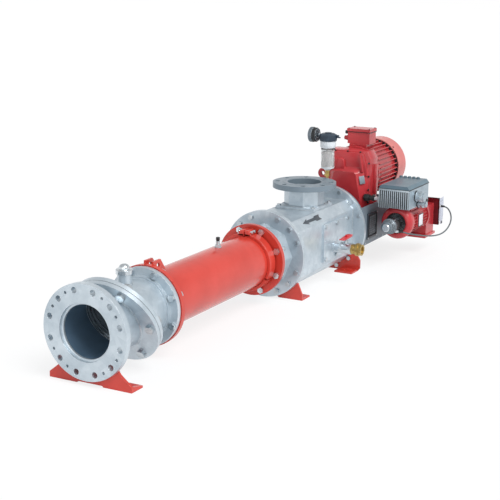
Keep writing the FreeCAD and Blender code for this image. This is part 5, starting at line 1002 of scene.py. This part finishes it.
class PUMP_OT_switch_panel(bpy.types.Operator):
    """Folded red panel with the plain plate beside it, the cable's gland, screws and a ring."""

    bl_idname = "pump.switch_panel"
    bl_label = "Switch panel"

    def execute(self, context):
        x, side, inner, low, high, sheet = 2490, -350, -283, -64, 72, 4
        panel = bmesh.new()
        slab(panel, (x, side, low), (x + sheet, inner, high), 0.8)
        slab(panel, (x, side, low), (x + 12, side + sheet, high), 0.8)
        slab(panel, (x, side, high - sheet), (x + 12, inner, high), 0.8)
        hang(panel, "switch_panel_fold", "dark drive enamel", "red_paint", "switch_bracket")
        plate = bmesh.new()
        outline = [(2491, -46), (2514, -46), (2514, low), (2540, low), (2540, -46), (2547, -38), (2547, high),
                   (2541, high), (2491, 70)]
        push(plate, outline, "Y", side - 3.2, side - 0.2, 0.5)
        hang(plate, "switch_side_plate", "pale plate", "zinc")
        face = side - 3
        gland = bmesh.new()
        stack(gland, "Y", (2492, 33), (face, face - 5, 9, 0.8, 6), (face - 5, face - 8, 7, 1.0, 24))
        for across in ((2505, 58), (2535, 58), (2505, -30)):
            stack(gland, "Y", across, (face, face - 3, 4, 0.8, 12))
        hang(gland, "switch_gland_screws", "bright zinc", "zinc")
        hole = bmesh.new()
        plain_ring(hole, face - 0.5, face - 1.4, 3.5, 7, (2528, 0, -56), "Y", 24)
        hang(hole, "switch_tab_ring", "blackened steel", "steel")
        return {"FINISHED"}


class PUMP_OT_lantern_windows(bpy.types.Operator):
    """Rubber edging and mesh of the window guards, and small screws along the lantern."""

    bl_idname = "pump.lantern_windows"
    bl_label = "Lantern windows"

    def execute(self, context):
        left, right, low, high, wire = 2073, 2165, -66, 36, 0.9
        columns, rows = 9, 10
        edging, bars, screws = bmesh.new(), bmesh.new(), bmesh.new()
        for side in (-1, 1):
            corners = [(left, low), (right, low), (right, high), (left, high)]
            run_round(edging, [(x, side * 147.6, z) for x, z in corners], 3.4, 10)
            mesh = side * 146.6
            for i in range(1, columns):
                stack(bars, "Z", (left + i * (right - left) / columns, mesh), (low, high, wire, 0, 6))
            for i in range(1, rows):
                stack(bars, "X", (mesh, low + i * (high - low) / rows), (left, right, wire, 0, 6))
            for x in (left - 7, right + 7):
                for z in (low - 7, high + 6):
                    stack(screws, "Y", (x, z), (side * 146.8, side * 149.6, 3.6, 0.7, 12))
            for x in (1950, 2010, 2040, 2200, 2260, 2320, 2380, 2440, 2500):
                stack(screws, "Y", (x, -94), (side * 142, side * 145.5, 4, 0.8, 12))
        hang(edging, "window_edging", "rubber", "rubber")
        hang(bars, "window_mesh", "dark casting", "aluminium")
        hang(screws, "lantern_screws", "bright zinc", "zinc")
        return {"FINISHED"}


class PUMP_OT_stage(bpy.types.Operator):
    """Floor, white surround, lamps and the camera of the photograph."""

    bl_idname = "pump.stage"
    bl_label = "Stage"

    def execute(self, context):
        scene = context.scene
        scene.view_settings.view_transform = "Standard"
        self.make_surround(scene)
        self.make_floor()
        self.make_lamps()
        self.make_camera(scene)
        return {"FINISHED"}

    def seen_directly(self, tree):
        """1 where a ray comes from the camera, a mirror-like surface or through glass."""
        rays = add_node(tree, "ShaderNodeLightPath").outputs
        some = reckon(tree, "MAXIMUM", rays["Is Camera Ray"], rays["Is Glossy Ray"])
        return reckon(tree, "MAXIMUM", some, rays["Is Transmission Ray"])

    def make_surround(self, scene):
        """A white world that lights the pump less brightly than it shows."""
        light_strength, ceiling = 0.54, 0.62
        world = bpy.data.worlds.new("studio_surround")
        scene.world = world
        tree = fresh_tree(world)
        light = add_node(tree, "ShaderNodeBackground", {
            "Color": linear("#F4F7FB"), "Strength": light_strength})
        # the white wall ends overhead, where gloss sees the room's grey ceiling
        way = add_node(tree, "ShaderNodeTexCoord").outputs["Generated"]
        rise = add_node(tree, "ShaderNodeSeparateXYZ", {"Vector": way}).outputs["Z"]
        wall = map_range(tree, rise, 0.12, 0.55, 1.0, ceiling, interpolation_type="SMOOTHSTEP")
        camera = add_node(tree, "ShaderNodeLightPath").outputs["Is Camera Ray"]
        level = reckon(tree, "MAXIMUM", wall, camera)
        white = add_node(tree, "ShaderNodeBackground", {"Color": (1, 1, 1, 1), "Strength": level})
        both = add_node(tree, "ShaderNodeMixShader", {
            0: self.seen_directly(tree), 1: light.outputs["Background"], 2: white.outputs["Background"]})
        add_node(tree, "ShaderNodeOutputWorld", {"Surface": both.outputs["Shader"]})

    def make_floor(self):
        """A pale floor under the feet; what the camera sees of it glows for the most part."""
        half_width, glow_share = 40, 0.8
        shape = bmesh.new()
        bmesh.ops.create_grid(shape, x_segments=1, y_segments=1, size=half_width)
        bmesh.ops.translate(shape, verts=shape.verts, vec=(0, 0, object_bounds()[0].z))
        mesh = bpy.data.meshes.new("studio_floor")
        shape.to_mesh(mesh)
        shape.free()
        floor = put("studio_floor", mesh)
        material = bpy.data.materials.new("painted_floor")
        tree = fresh_tree(material)
        paint = add_node(tree, "ShaderNodeBsdfDiffuse", {"Color": linear("#F6F7F8")})
        glow = add_node(tree, "ShaderNodeEmission", {"Color": (1, 1, 1, 1), "Strength": 1.0})
        share = reckon(tree, "MULTIPLY", self.seen_directly(tree), glow_share)
        both = add_node(tree, "ShaderNodeMixShader", {
            0: share, 1: paint.outputs["BSDF"], 2: glow.outputs["Emission"]})
        add_node(tree, "ShaderNodeOutputMaterial", {"Surface": both.outputs["Shader"]})
        mesh.materials.append(material)
        floor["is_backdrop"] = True

    def make_lamps(self):
        """A broad lamp from above and a weaker one from the front; the last value is how wide each is."""
        for name, towards, strength, width in (
            ("key_lamp", Vector((0.25, 0.8, -1.0)), 2.35, 35),
            ("front_lamp", Vector((1.0, 0.25, -0.45)), 0.55, 60),
        ):
            lamp = bpy.data.lights.new(name, "SUN")
            lamp.energy = strength
            lamp.angle = math.radians(width)
            put(name, lamp).rotation_euler = towards.to_track_quat("-Z", "Y").to_euler()

    def make_camera(self, scene):
        """The camera that the settings place, turned by their yaw, pitch and roll."""
        wish = scene.pump_camera
        data = bpy.data.cameras.new("photograph_camera")
        data.lens = wish.lens
        data.sensor_width = 36
        data.clip_end = 200
        camera = put("photograph_camera", data)
        heading = Vector((math.cos(wish.yaw), math.sin(wish.yaw), 0))
        ahead = heading * math.cos(wish.pitch) - Z * math.sin(wish.pitch)
        level = heading.cross(Z)
        above = level.cross(ahead)
        right = math.cos(wish.roll) * level + math.sin(wish.roll) * above
        up = math.cos(wish.roll) * above - math.sin(wish.roll) * level
        turn = Matrix((right, up, -ahead)).transposed().to_4x4()
        camera.matrix_world = Matrix.Translation(Vector(wish.place)) @ turn
        scene.camera = camera


STEPS = (
    PUMP_OT_finishes, PUMP_OT_control_cable, PUMP_OT_stage, PUMP_OT_pipe_fittings, PUMP_OT_clamp_band,
    PUMP_OT_housing_fittings, PUMP_OT_drain_valve, PUMP_OT_gear_unit, PUMP_OT_motor_fittings,
    PUMP_OT_seal_reservoir, PUMP_OT_adjusting_motor, PUMP_OT_inverter_fittings, PUMP_OT_switch_panel,
    PUMP_OT_lantern_windows,
)


class PUMP_PT_steps(bpy.types.Panel):
    """The steps that dress the pump, in their order."""

    bl_idname = "PUMP_PT_steps"
    bl_label = "Pump"
    bl_space_type = "VIEW_3D"
    bl_region_type = "UI"
    bl_category = "Pump"

    def draw(self, context):
        for step in STEPS:
            self.layout.operator(step.bl_idname)


CLASSES = (PumpColours, PumpCamera, *STEPS, PUMP_PT_steps)


def register():
    """Adds the classes and the scene's settings."""
    for made in CLASSES:
        bpy.utils.register_class(made)
    bpy.types.Scene.pump_colours = bpy.props.PointerProperty(type=PumpColours)
    bpy.types.Scene.pump_camera = bpy.props.PointerProperty(type=PumpCamera)


def unregister():
    """Takes them away again."""
    del bpy.types.Scene.pump_camera
    del bpy.types.Scene.pump_colours
    for made in reversed(CLASSES):
        bpy.utils.unregister_class(made)


def main():
    register()
    for step in STEPS:
        group, name = step.bl_idname.split(".")
        getattr(getattr(bpy.ops, group), name)()


if __name__ == "__main__":
    main()
